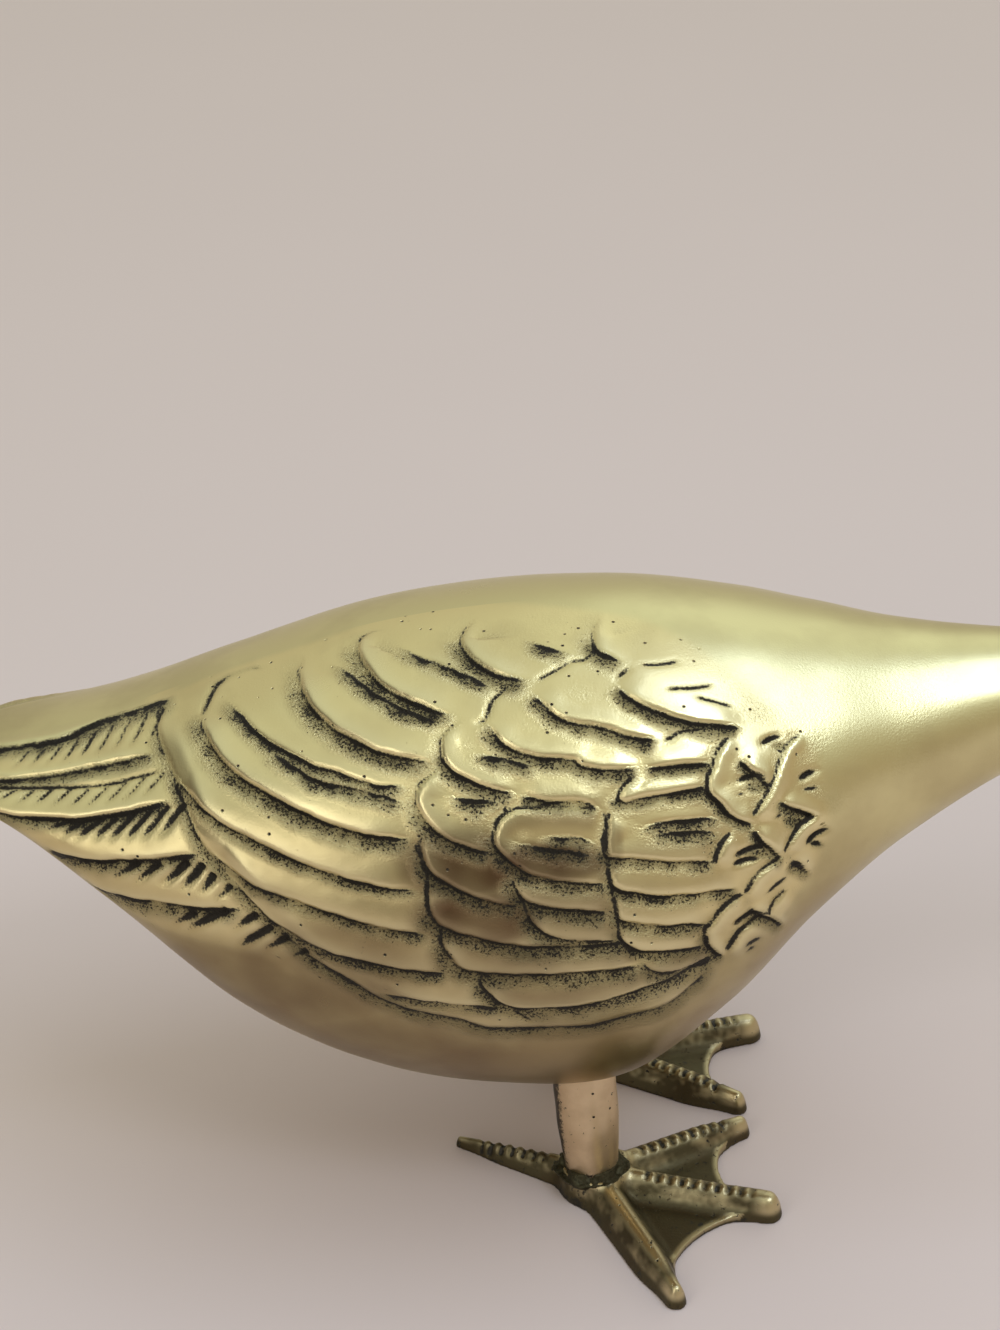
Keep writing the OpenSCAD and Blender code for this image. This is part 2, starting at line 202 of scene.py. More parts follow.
def makePitGroup():
    # the pits, and the bumps that they and the skin's grain make
    group, given, out = newGroup("castPits", ["Share", "Pit Scale", "Grain Scale", "Grain", "Strength",
                                              "Depth"], ["Pits", "Normal"])
    lowered = maths(group, "MULTIPLY", given["Share"], pores["dirtLowers"])
    level = maths(group, "SUBTRACT", pores["level"], lowered)
    drift = maths(group, "SUBTRACT", cloudy(group, pores["driftScale"], 1.0), 0.5)
    uneven = maths(group, "MULTIPLY", drift, pores["drift"])
    specks = cloudy(group, given["Pit Scale"], 2.5, 0.65)
    over = maths(group, "SUBTRACT", maths(group, "ADD", specks, uneven), level)
    place = node(group, "ShaderNodeTexCoord").outputs["Object"]
    cells = node(group, "ShaderNodeTexVoronoi", {"Vector": place, "Scale": pores["dotScale"]}).outputs
    chance = node(group, "ShaderNodeSeparateXYZ", {"Vector": cells["Color"]}).outputs["X"]
    chosen = maths(group, "MULTIPLY", maths(group, "GREATER_THAN", chance, pores["dotChance"]),
                   ranged(group, given["Share"], *pores["dotDirt"]))
    dots = maths(group, "MULTIPLY", ranged(group, cells["Distance"], *pores["dotRadius"], 1.0, 0.0), chosen)
    pits = maths(group, "MAXIMUM", ranged(group, over, 0.0, pores["soft"]), dots)
    grain = maths(group, "MULTIPLY", cloudy(group, given["Grain Scale"], 3.0, 0.6), given["Grain"])
    relief = maths(group, "SUBTRACT", grain, pits)
    bump = node(group, "ShaderNodeBump", {"Height": relief, "Strength": given["Strength"],
                                          "Distance": given["Depth"]})
    put(group, out["Pits"], pits)
    put(group, out["Normal"], bump.outputs["Normal"])
    return group


patinaRange = (0.47, 0.7)  # how deep a hollow must be for patina to start, and to be full


def makePatinaGroup():
    # dark tarnish that stays in the hollows, and painted shade where the mask carries it, with a speckled
    # edge
    group, given, out = newGroup("hollowPatina", ["Clean Color", "Patina Color", "Recess", "Speckle",
                                                  "Speckle Scale"], ["Color", "Mask"])
    speck = maths(group, "SUBTRACT", cloudy(group, given["Speckle Scale"], 2.0, 0.7), 0.5)
    shaken = maths(group, "MULTIPLY", speck, given["Speckle"])
    mask = ranged(group, maths(group, "ADD", given["Recess"], shaken), *patinaRange)
    put(group, out["Color"], mixed(group, mask, given["Clean Color"], given["Patina Color"]))
    put(group, out["Mask"], mask)
    return group


def makeToneGroup():
    # slow change of tone over the skin, from one colour to another
    group, given, out = newGroup("skinTone", ["Pale Color", "Warm Color", "Warmth", "Cloud Scale"],
                                 ["Color", "Cloud"])
    cloud = cloudy(group, given["Cloud Scale"], 4.0, 0.55)
    share = maths(group, "ADD", given["Warmth"], ranged(group, cloud, 0.3, 0.7, -0.2, 0.2))
    share.node.use_clamp = True
    put(group, out["Color"], mixed(group, share, given["Pale Color"], given["Warm Color"]))
    put(group, out["Cloud"], cloud)
    return group


pitGroup = makePitGroup()
patinaGroup = makePatinaGroup()
toneGroup = makeToneGroup()


def newMaterial(name):
    material = bpy.data.materials.new(name)
    material.use_nodes = True
    return material, material.node_tree, material.node_tree.nodes["Principled BSDF"]


def layer(tree, name):
    return node(tree, "ShaderNodeAttribute", attribute_name=name).outputs["Fac"]


# the groups as one finish sets them; each entry of a look is a fixed value or a socket

def toneOf(tree, look):
    inputs = {"Pale Color": look["pale"], "Warm Color": look["warm"], "Warmth": look["warmth"],
              "Cloud Scale": look["cloudScale"]}
    return node(tree, "ShaderNodeGroup", inputs, node_tree=toneGroup).outputs


def pitsOf(tree, shader, look):
    inputs = {"Share": look["dirt"], "Pit Scale": look["pitScale"], "Grain Scale": look["grainScale"],
              "Grain": look["grain"], "Strength": look["bump"], "Depth": look["bumpDepth"]}
    made = node(tree, "ShaderNodeGroup", inputs, node_tree=pitGroup).outputs
    put(tree, shader.inputs["Normal"], made["Normal"])
    return made["Pits"]


def patinaOver(tree, shader, look, clean, recess):
    # patina in hollows and pits, and painted shade, hides the metal
    pits = maths(tree, "MULTIPLY", pitsOf(tree, shader, look), look["pitDark"])
    inputs = {"Clean Color": clean, "Patina Color": look["patina"], "Speckle": look["speckle"],
              "Speckle Scale": look["speckleScale"], "Recess": maths(tree, "MAXIMUM", recess, pits)}
    made = node(tree, "ShaderNodeGroup", inputs, node_tree=patinaGroup).outputs
    put(tree, shader.inputs["Base Color"], made["Color"])
    put(tree, shader.inputs["Metallic"], ranged(tree, made["Mask"], 0.0, 1.0, 1.0, look["patinaMetal"]))
    return made["Mask"]


castFinish = {
    "pale": (0.74, 0.66, 0.35),
    "feather": (0.84, 0.715, 0.37),
    "warm": (0.37, 0.28, 0.14),
    "brown": (0.115, 0.058, 0.031),
    "rim": (0.90, 0.82, 0.50),
    "grimeAndShade": (0.20, 0.18, 0.10),
    "patina": (0.022, 0.017, 0.010),
    "warmBelow": 0.045,  # heights between which the tone turns from warm to pale, in metres: painted shade, darker and warmer low on the body
    "paleAbove": 0.115,
    "featherPaler": 0.35,                  # feathers take less of the painted low shade
    "rimWear": 0.5, "brownKeeps": 0.4,     # rims are worn bright and carry a painted highlight, less so where the painted brown reflection lies
    "grimeTint": 0.68, "grimeDirt": 0.95, "featherDirt": 0.15,
    "roughness": (0.27, 0.35), "dull": 0.25,
    "polished": 0.12, "hollowGrain": 3.2,  # the hollows keep the rough skin of the casting
    "cloudScale": 45.0, "pitScale": 2200.0, "pitDark": 0.7, "grainScale": 2300.0,
    "bump": 0.75, "bumpDepth": 0.0003, "speckle": 0.6, "speckleScale": 2000.0, "patinaMetal": 0.4,
}


def makeCastBrass():
    material, tree, shader = newMaterial("castBrass")
    names = ("recess", "grimeAndShade", "rub", "feathered", "paintedDarkReflection")
    hollows, dirtAndShade, rubbed, plumed, darkReflection = (layer(tree, name) for name in names)
    place = node(tree, "ShaderNodeTexCoord").outputs["Object"]
    height = node(tree, "ShaderNodeSeparateXYZ", {"Vector": place}).outputs["Z"]
    # painted shade: the tone turns darker and warmer low on the body
    paintedShadeLow = ranged(tree, height, castFinish["warmBelow"], castFinish["paleAbove"], 1.0, 0.0)
    paler = maths(tree, "MULTIPLY_ADD", plumed, -castFinish["featherPaler"], 1.0)
    featherDirt = maths(tree, "MULTIPLY", plumed, castFinish["featherDirt"])
    look = {
        **castFinish,
        "pale": mixed(tree, plumed, castFinish["pale"], castFinish["feather"]),
        "warmth": maths(tree, "MULTIPLY", paintedShadeLow, paler),
        "dirt": maths(tree, "MULTIPLY_ADD", dirtAndShade, castFinish["grimeDirt"], featherDirt),
        "grain": maths(tree, "MULTIPLY_ADD", dirtAndShade, castFinish["hollowGrain"], castFinish["polished"]),
    }
    tone = toneOf(tree, look)
    # the painted dark reflection turns the tone brown
    aged = mixed(tree, darkReflection, tone["Color"], castFinish["brown"])
    # rims: wear on the raised parts, and a painted highlight
    wear = maths(tree, "MULTIPLY_ADD", darkReflection, -castFinish["brownKeeps"], castFinish["rimWear"])
    bright = mixed(tree, maths(tree, "MULTIPLY", rubbed, wear), aged, castFinish["rim"])
    # grime darkens the tone: dirt in the rough skin, and painted shade under each overlapping feather
    tint = maths(tree, "MULTIPLY", dirtAndShade, castFinish["grimeTint"])
    mask = patinaOver(tree, shader, look, mixed(tree, tint, bright, castFinish["grimeAndShade"]), hollows)
    shine = ranged(tree, tone["Cloud"], 0.25, 0.75, *castFinish["roughness"])
    dull = maths(tree, "MULTIPLY", maths(tree, "MAXIMUM", mask, dirtAndShade), castFinish["dull"])
    put(tree, shader.inputs["Roughness"], maths(tree, "ADD", shine, dull))
    return material


legFinish = {
    "pale": (0.80, 0.63, 0.41), "warm": (0.55, 0.40, 0.24), "patina": (0.03, 0.02, 0.012),
    "warmth": 0.25, "cloudScale": 160.0, "roughness": (0.36, 0.5),
    "dirt": 0.42, "pitScale": 900.0, "pitDark": 1.0, "grainScale": 1800.0, "grain": 0.2,
    "bump": 0.4, "bumpDepth": 0.0003, "speckle": 0.7, "speckleScale": 1500.0, "patinaMetal": 0.4,
}


def makeLegBrass():
    material, tree, shader = newMaterial("legBrass")
    tone = toneOf(tree, legFinish)
    patinaOver(tree, shader, legFinish, tone["Color"], layer(tree, "recess"))
    put(tree, shader.inputs["Roughness"], ranged(tree, tone["Cloud"], 0.2, 0.8, *legFinish["roughness"]))
    return material


footFinish = {
    "pale": (0.112, 0.098, 0.053), "warm": (0.09, 0.064, 0.034), "rubbed": (0.68, 0.57, 0.33),
    "patina": (0.022, 0.018, 0.010),
    "warmth": 0.45, "cloudScale": 140.0, "roughness": 0.5, "polish": 0.2,
    "dirt": 0.45, "pitScale": 900.0, "pitDark": 0.7, "grainScale": 1500.0, "grain": 0.35,
    "bump": 0.5, "bumpDepth": 0.0003, "speckle": 0.8, "speckleScale": 1100.0, "patinaMetal": 0.35,
}


def makeFootBrass():
    material, tree, shader = newMaterial("footBrass")
    rubbed = layer(tree, "rub")
    worn = mixed(tree, rubbed, toneOf(tree, footFinish)["Color"], footFinish["rubbed"])
    patinaOver(tree, shader, footFinish, worn, layer(tree, "recess"))
    dull = maths(tree, "MULTIPLY_ADD", rubbed, -footFinish["polish"], footFinish["roughness"])
    put(tree, shader.inputs["Roughness"], dull)
    return material


plainFinish = {
    "warmth": 0.4, "cloudScale": 220.0, "pitScale": 900.0, "grainScale": 1300.0, "grain": 0.4,
    "bump": 0.5, "bumpDepth": 0.0004,
}


def makePlainMetal(name, pale, warm, roughness, dirt):
    material, tree, shader = newMaterial(name)
    look = {**plainFinish, "pale": pale, "warm": warm, "dirt": dirt}
    tone = toneOf(tree, look)
    pitsOf(tree, shader, look)
    put(tree, shader.inputs["Base Color"], tone["Color"])
    put(tree, shader.inputs["Roughness"], ranged(tree, tone["Cloud"], 0.2, 0.8, *roughness))
    shader.inputs["Metallic"].default_value = 1.0
    return material


castBrass = makeCastBrass()
legBrass = makeLegBrass()
footBrass = makeFootBrass()
brazeMetal = makePlainMetal("brazeMetal", (0.10, 0.095, 0.055), (0.05, 0.04, 0.025), (0.5, 0.65), 0.8)
bushBrass = makePlainMetal("bushBrass", (0.70, 0.58, 0.30), (0.60, 0.47, 0.22), (0.3, 0.45), 0.2)
studSteel = makePlainMetal("studSteel", (0.60, 0.60, 0.58), (0.50, 0.49, 0.47), (0.3, 0.45), 0.1)
print("materials made")

# The casting's skin, the same loft as the solids have: rows are shares of the sizes beside them
casting = {
    "tailLength": 20, "tailEndWidth": 12, "tailEndThickness": 2.5,
    "bodyLength": 170, "bodyHeight": 103, "bodyWidth": 90, "bellyClearance": 21, "wall": 3,
    "neckLength": 65, "neckHeight": 18, "neckWidth": 17.2, "neckRise": 19,
    "headLength": 32, "headHeight": 23.5, "headWidth": 21,
    "billLength": 23, "billHeight": 14, "billWidth": 14.5,
    "tailRound": 1.2, "billRound": 3.0, "leastRound": 0.3,
    "tailRows": [(0, 0, 0), (0.45, 0.36, 0.58)],
    "bodyRows": [(0, 0.71, 0.605, 0.44), (0.12, 0.765, 0.42, 0.62), (0.265, 0.86, 0.18, 0.81),
                 (0.41, 0.945, 0.05, 0.945), (0.56, 0.99, 0, 1), (0.705, 1, 0.02, 0.98),
                 (0.825, 0.98, 0.19, 0.855), (0.91, 0.955, 0.365, 0.7), (1, 0.93, 0.51, 0.52)],
    "neckRows": [(0.31, 0.34, 0.41), (0.54, 0.56, 0.16), (0.77, 0.77, 0.03), (1, 1, 0)],
    "headRows": [(0.31, 0.6, 0.28, 0.905), (0.56, 0.745, 0.255, 1), (0.81, 0.725, 0.21, 0.98),
                 (1, 0.6, 0.2, 0.85)],
    "billRows": [(0.26, 0.68, 0.32, 1), (0.65, 0.3, 0.36, 0.9), (0.9, 0.06, 0.34, 0.7),
                 (1, -0.06, 0.27, 0.45)],
}
casting["length"] = sum(casting[k + "Length"] for k in ("tail", "body", "neck", "head", "bill"))
tailX = -casting["length"] / 2
rumpX = tailX + casting["tailLength"]
neckX = rumpX + casting["bodyLength"]
headX = neckX + casting["neckLength"]
billX = headX + casting["headLength"]
tipX = billX + casting["billLength"]


def bodyStation(row):
    share, back, belly, width = row
    axis = casting["bellyClearance"] + casting["bodyHeight"] * (back + belly) / 2
    half = casting["bodyHeight"] * (back - belly) / 2
    return rumpX + casting["bodyLength"] * share, axis, half, casting["bodyWidth"] * width / 2


rump = bodyStation(casting["bodyRows"][0])
root = bodyStation(casting["bodyRows"][-1])
headAxis = root[1] + casting["neckRise"]


def tailStation(row):
    share, tall, wide = row
    return (tailX + casting["tailLength"] * share, rump[1],
            mix(casting["tailEndThickness"] / 2, rump[2], tall),
            mix(casting["tailEndWidth"] / 2, rump[3], wide))


def neckStation(row):
    share, rise, left = row
    return (neckX + casting["neckLength"] * share, root[1] + casting["neckRise"] * rise,
            mix(casting["neckHeight"] / 2, root[2], left),
            mix(casting["neckWidth"] / 2, root[3], left))


def headStation(row, start, part):
    share, crown, throat, width = row
    tall = casting[part + "Height"]
    return (start + casting[part + "Length"] * share, headAxis + tall * (crown - throat) / 2,
            tall * (crown + throat) / 2, casting[part + "Width"] * width / 2)


stations = np.array(
    [tailStation(r) for r in casting["tailRows"]]
    + [bodyStation(r) for r in casting["bodyRows"]]
    + [neckStation(r) for r in casting["neckRows"]]
    + [headStation(r, headX, "head") for r in casting["headRows"]]
    + [headStation(r, billX, "bill") for r in casting["billRows"]])


def sectionAt(x):
    # axis height, half height and half width of the skin, on smooth curves through the stations
    at = stations[:, 0]
    last = len(at) - 1
    before = np.maximum(np.arange(last + 1) - 1, 0)
    after = np.minimum(np.arange(last + 1) + 1, last)
    slopes = (stations[after, 1:] - stations[before, 1:]) / (at[after] - at[before])[:, None]
    i = np.clip(np.searchsorted(at, x, side="right") - 1, 0, last - 1)
    run = (at[i + 1] - at[i])[:, None]
    f = (x - at[i])[:, None] / run
    return ((1 + 2 * f) * (1 - f) ** 2 * stations[i, 1:] + f * (1 - f) ** 2 * run * slopes[i]
            + f * f * (3 - 2 * f) * stations[i + 1, 1:] + f * f * (f - 1) * run * slopes[i + 1])


def endRound(x):
    # the tail's and the bill's ends are rounded off
    ends = ((x - tailX) / casting["tailRound"], (tipX - x) / casting["billRound"])
    rear, front = (np.sqrt(1 - (1 - np.clip(end, 0, 1)) ** 2) for end in ends)
    return np.maximum(rear, casting["leastRound"]) * np.maximum(front, casting["leastRound"])


# The grid of the skin: fine over the wing and tail, coarse under the belly and along the neck
grid = {
    "tailEnd": -137, "wingEnd": 24, "headStart": 98,  # places along X
    "tailSteps": 15, "wingSteps": 291, "neckSteps": 37, "headSteps": 80,
    "fineAngle": 126, "fineSteps": 249, "coarseSteps": 36,
    "thin": 3,          # one coarse face takes this many fine ones
    "cavitySteps": 12,
    "cavityLeast": 2,   # the cavity ends where less room than this is left in it
}
columns = np.concatenate([
    np.linspace(tailX, grid["tailEnd"], grid["tailSteps"] + 1),
    np.linspace(grid["tailEnd"], grid["wingEnd"], grid["wingSteps"] + 1)[1:],
    np.linspace(grid["wingEnd"], grid["headStart"], grid["neckSteps"] + 1)[1:],
    np.linspace(grid["headStart"], tipX, grid["headSteps"] + 1)[1:]])
rows = np.radians(np.concatenate([
    np.linspace(0, grid["fineAngle"], grid["fineSteps"] + 1),
    np.linspace(grid["fineAngle"], 180, grid["coarseSteps"] + 1)[1:]]))
lastColumn = len(columns) - 1
lastRow = len(rows) - 1
wingColumn = grid["tailSteps"] + grid["wingSteps"]
sections = sectionAt(columns) * np.stack([np.ones(len(columns)), endRound(columns), endRound(columns)], 1)


def plainSkin():
    axis, tall, wide = (sections[:, k][:, None] for k in range(3))
    x = columns[:, None] + 0 * rows
    return np.stack([x, -wide * np.sin(rows), axis + tall * np.cos(rows)], -1)


def outward(points):
    along = np.gradient(points, axis=0)
    around = np.gradient(points, axis=1)
    normal = np.cross(around, along)
    normal[:, (0, -1), 1] = 0
    return normal / np.maximum(np.linalg.norm(normal, axis=-1, keepdims=True), 1e-9)


skin = plainSkin()
skinNormal = outward(skin)
photoU, photoV = toPhoto(skin)
toCamera = np.array(photoView["place"]) - skin
toCamera /= np.linalg.norm(toCamera, axis=-1, keepdims=True)
grazing, grazingRun = photoView["grazing"]
facing = ease(((skinNormal * toCamera).sum(-1) - grazing) / grazingRun)
seen = facing > photoView["seen"]

# The back is smooth along its seam: distances from it at which drawing starts, on the tail and on the
# body, and the run that it takes
seamFade = {
    "inked": (0.6, 1.5, 2.5),
    "carved": (0.6, 2, 4),
    "left": (10, 26, 10),           # on the left half the wing's feathers end further down
    "bodyFrom": 15, "bodyRun": 45,  # from the tail's end, where tail turns into body
    "neckRun": 20,
}


def backFade(onTail, onBody, width):
    start = mix(onTail, onBody, ease((skin[..., 0] - tailX - seamFade["bodyFrom"]) / seamFade["bodyRun"]))
    return ease((-skin[..., 1] - start) / width)


inked = facing * backFade(*seamFade["inked"])
carved = facing * backFade(*seamFade["carved"])
leftShown = np.maximum(backFade(*seamFade["left"]), ease((skin[..., 0] - neckX) / seamFade["neckRun"]))


# drawing on the skin

def smoothLine(points, spacing):
    # a smooth line through a few points, with even short steps
    p = np.array(points, float)
    if len(p) == 2:
        steps = max(2, int(np.linalg.norm(p[1] - p[0]) / spacing) + 1)
        return p[0] + (p[1] - p[0]) * np.linspace(0, 1, steps)[:, None]
    p = np.vstack([2 * p[0] - p[1], p, 2 * p[-1] - p[-2]])
    made = []
    for a, b, c, d in zip(p[:-3], p[1:-2], p[2:-1], p[3:]):
        steps = max(1, int(np.linalg.norm(c - b) / spacing))
        t = np.linspace(0, 1, steps, endpoint=False)[:, None]
        made.append(0.5 * (2 * b + (c - a) * t + (2 * a - 5 * b + 4 * c - d) * t ** 2
                           + (3 * b - a - 3 * c + d) * t ** 3))
    return np.vstack(made + [p[-2:-1]])


def nearLine(points, u, v, reach, spacing=4.0):
    # for the grid points within reach of a line: distance (plus on its left as it is drawn, seen
    # with v downwards), how far along it they lie, counted from both ends, and how far they lie below it
    line = smoothLine(points, spacing)
    low, high = line.min(0) - reach, line.max(0) + reach
    near = np.nonzero((u > low[0]) & (u < high[0]) & (v > low[1]) & (v < high[1]))
    pu, pv = u[near], v[near]
    best = np.full(len(pu), 1e9)
    side = np.zeros(len(pu))
    along = np.zeros(len(pu))
    below = np.zeros(len(pu))
    gone = 0.0
    for a, b in zip(line[:-1], line[1:]):
        du, dv = b - a
        size = math.hypot(du, dv)
        if size < 1e-6:
            continue
        t = np.clip(((pu - a[0]) * du + (pv - a[1]) * dv) / size ** 2, 0, 1)
        ru, rv = pu - a[0] - t * du, pv - a[1] - t * dv
        away = np.hypot(ru, rv)
        closer = away < best
        best[closer] = away[closer]
        side[closer] = -np.sign(du * rv - dv * ru)[closer]
        along[closer] = (gone + t * size)[closer]
        below[closer] = (rv / np.maximum(away, 1e-6))[closer]
        gone += size
    return near, best, side, along, gone - along, below


def insideLine(points, u, v):
    # whether grid points lie inside a closed line
    line = smoothLine(points, 6.0)
    inside = np.zeros(u.shape, bool)
    for (au, av), (bu, bv) in zip(line, np.roll(line, -1, 0)):
        crosses = (av > v) != (bv > v)
        if av != bv:
            inside ^= crosses & (u < (bu - au) * (v - av) / (bv - av) + au)
    return inside


raised, sunk, recess, grimeAndShade, feathered, paintedDarkReflection = (np.zeros(skin.shape[:2]) for k in range(6))

# hand-cut lines aren't quite even, in their run and in how dark they are
handwork = {
    "seamLevel": 5,  # unevenness is level over the seam for about this far
    "wanderSize": 2.5, "patchSize": 7,
    "dark": 0.95, "patches": 0.35, "finePatches": 0.25, "darkRange": (0.55, 1.2),
}


def unevenness(size, seed):
    # the same on both sides of the seam, and level across it
    even = skin.reshape(-1, 3).copy()
    even[:, 1] = np.hypot(even[:, 1], handwork["seamLevel"])
    return softLumps(even, size, seed).reshape(skin.shape[:2])


wander = unevenness(handwork["wanderSize"], 8.3)
patchy = handwork["dark"] + handwork["patches"] * unevenness(handwork["patchSize"], 5.3)
patchy = np.clip(patchy + handwork["finePatches"] * wander, *handwork["darkRange"])

edgeForm = {
    "reach": 2.2,                           # drawn this many times as far as its crest or hollow goes
    "rimRound": 0.4,                        # the rim falls off by this share towards the edge
    "shadedFrom": -0.25, "shadedRun": 0.9,  # a feather shades the one below it, hardly the one beside it
    "besideDip": 0.4, "besideDark": 0.9, "besideGrime": 0.15,
    "fallOver": 0.6, "fallUnder": 1.2,      # the dark line is sharper on the feather than under it
    # the painted brown reflection on a feather: where it starts and ends above the edge, and how low on the
    # flank
    "tanFrom": 1, "tanRun": 4, "tanReach": 1.3, "tanEnd": 14,
    "tanRow": 770, "tanRows": 80,           # only low on the flank, in photo pixels
    "bandReach": 1.2, "bandRun": 1.6,
}


def drawEdge(points, style, u=photoU, v=photoV, shown=inked, cut=carved):
    # an overlapping edge: a rounded rim on the feather's side, and a hollow under it
    form = edgeForm
    reach = form["reach"] * max(style["crest"], style["hollow"])
    near, away, side, fromStart, toEnd, below = nearLine(points, u, v, reach, style.get("spacing", 4.0))
    ends = ease(fromStart / style["taper"]) * ease(toEnd / style["taper"])
    gentle = ease(fromStart / (2 * style["taper"])) * ease(toEnd / (2 * style["taper"]))
    beyond = side * away + style["wander"] * wander[near]
    over = ease(0.5 + beyond / (2 * style["edge"]))
    upon, under = np.maximum(beyond, 0), np.maximum(-beyond, 0)
    rounded = 1 - form["rimRound"] * np.exp(-upon / style["edge"])
    rim = style["lift"] * np.exp(-(upon / style["crest"]) ** 2) * rounded
    shaded = ease((below - form["shadedFrom"]) / form["shadedRun"])
    dip = style["dip"] * np.exp(-(under / style["hollow"]) ** 2) * mix(form["besideDip"], 1, shaded)
    raised[near] = np.maximum(raised[near], gentle * cut[near] * over * rim)
    sunk[near] = np.maximum(sunk[near], gentle * cut[near] * (1 - over) * dip)
    # the dark line lies at the foot of the edge, and grime with painted shade under it
    ink = ends * shown[near]
    off = beyond + 0.5 * style["edge"]
    fall = style["shade"] * np.where(off > 0, form["fallOver"], form["fallUnder"])
    dark = style["dark"] * patchy[near] * np.maximum(1 - np.abs(off) / fall, 0)
    dark = np.where(off > 0, dark, dark * mix(form["besideDark"], 1, shaded))
    recess[near] = np.maximum(recess[near], ink * dark)
    # painted dark reflection: low on the flank a feather is browner towards its edge
    tan = style.get("tan", 0) * ease((upon - form["tanFrom"]) / form["tanRun"])
    tan = tan * ease((form["tanReach"] * style["crest"] - upon) / form["tanEnd"])
    low = ease((v[near] - form["tanRow"]) / form["tanRows"])
    paintedDarkReflection[near] = np.maximum(paintedDarkReflection[near], ink * tan * low)
    band = ease(form["bandReach"] - under / (form["bandRun"] * style["band"])) * (1 - over)
    grimeAndShade[near] = np.maximum(grimeAndShade[near], ink * band * mix(form["besideGrime"], 1, shaded))


grooveForm = {"reach": 3, "patches": 0.4, "endDark": 0.35, "grimeAndShade": 0.45}


def drawGroove(points, style, u=photoU, v=photoV, shown=inked, cut=carved):
    # a chisel cut, pointed at its ends
    reach = grooveForm["reach"] * style["width"]
    near, away, side, fromStart, toEnd = nearLine(points, u, v, reach, style.get("spacing", 4.0))[:5]
    ends = ease(fromStart / style.get("lead", style["taper"])) * ease(toEnd / style["taper"])
    off = np.abs(side * away + style.get("wander", 0) * wander[near])
    groove = np.exp(-(off / style["width"]) ** 2)
    sunk[near] = np.maximum(sunk[near], ends * cut[near] * style["depth"] * groove)
    dark = style["dark"] * mix(1, patchy[near], grooveForm["patches"])
    dark = dark * np.maximum(1 - off / style["shade"], 0) * mix(grooveForm["endDark"], 1, ends) * (ends > 0)
    recess[near] = np.maximum(recess[near], shown[near] * dark)
    grimeAndShade[near] = np.maximum(grimeAndShade[near], ends * shown[near] * grooveForm["grimeAndShade"] * groove)


# Tail feathers. Lines run from the tail's end to the wing, in photo pixels
tail = {
    "edge": {"lift": 0.55, "dip": 0.8, "crest": 20, "hollow": 9, "edge": 3, "taper": 24, "wander": 1.2,
             "dark": 1.05, "shade": 7, "band": 11},
    "thinEdge": {"lift": 0.6, "dip": 0.7, "crest": 14, "hollow": 8, "edge": 3, "taper": 24, "wander": 1.2,
                 "dark": 0.85, "shade": 6.5, "band": 11},
    "top": {"lift": 0.35, "dip": 0.8, "crest": 16, "hollow": 9, "edge": 3, "taper": 24, "wander": 2.6,
            "dark": 1.0, "shade": 7, "band": 12},
    "back": [(-90, 748), (-40, 749), (0, 746), (36, 742), (71, 732), (107, 717), (143, 705), (179, 693)],
    "first": [(-90, 760), (-40, 774), (0, 778), (54, 773), (89, 766), (125, 759), (164, 750)],
    "second": [(-45, 796), (-15, 808), (13, 815), (54, 817), (80, 818), (125, 811), (177, 798)],
    "third": [(40, 842), (57, 852), (89, 859), (116, 860), (152, 859), (179, 855), (207, 851)],
    "fourth": [(84, 874), (96, 887), (125, 896), (152, 901), (187, 906), (214, 908), (250, 908)],
    "fifth": [(100, 890), (114, 900), (143, 919), (179, 935), (216, 945), (260, 954), (292, 958)],
    "soft": {"lift": 0.35, "dip": 0.0, "crest": 16, "hollow": 16, "edge": 16, "taper": 20, "wander": 0.8,
             "dark": 0.0, "shade": 6, "band": 0.01},
    "shaft": [(-60, 780), (0, 787), (54, 787), (89, 786), (116, 782), (143, 775), (170, 769)],
    "shaftGroove": {"depth": 0.5, "width": 3.0, "taper": 24, "dark": 0.85, "shade": 6, "wander": 1.0},
    "thinBarb": {"depth": 0.35, "width": 2.6, "taper": 20, "lead": 4, "dark": 0.85, "shade": 4.8,
                 "wander": 0.6},
    "wideBarb": {"depth": 0.6, "width": 4.0, "taper": 26, "lead": 3, "dark": 0.95, "shade": 7.5,
                 "wander": 1.0},
    "deepBarb": {"depth": 1.0, "width": 4.6, "taper": 30, "lead": 3, "dark": 1.25, "shade": 8.5,
                 "wander": 1.0},
    # barbs of the upper feathers: lines that bound them, first and last place, count, lean,
    # shares of the way down at which they start and end
    "fans": [("back", "first", 30, 165, 9, 20, 0.14, 0.88, "thinBarb"),
             ("shaft", "second", 0, 165, 10, 26, 0.0, 0.8, "thinBarb"),
             ("second", "third", 68, 186, 8, 32, 0.06, 0.7, "wideBarb")],
    # barbs of the two lowest feathers, each from its root to its end
    "fourthBarbs": [((140, 861), (110, 880)), ((161, 862), (131, 886)), ((189, 861), (156, 889)),
                    ((204, 863), (178, 894)), ((215, 873), (197, 898)), ((232, 884), (214, 903))],
    "fifthBarbs": [((197, 913), (168, 925)), ((229, 910), (184, 931)), ((258, 914), (229, 932)),
                   ((273, 927), (233, 949)), ((290, 937), (259, 952)), ((309, 950), (286, 960)),
                   ((316, 960), (299, 967))],
}


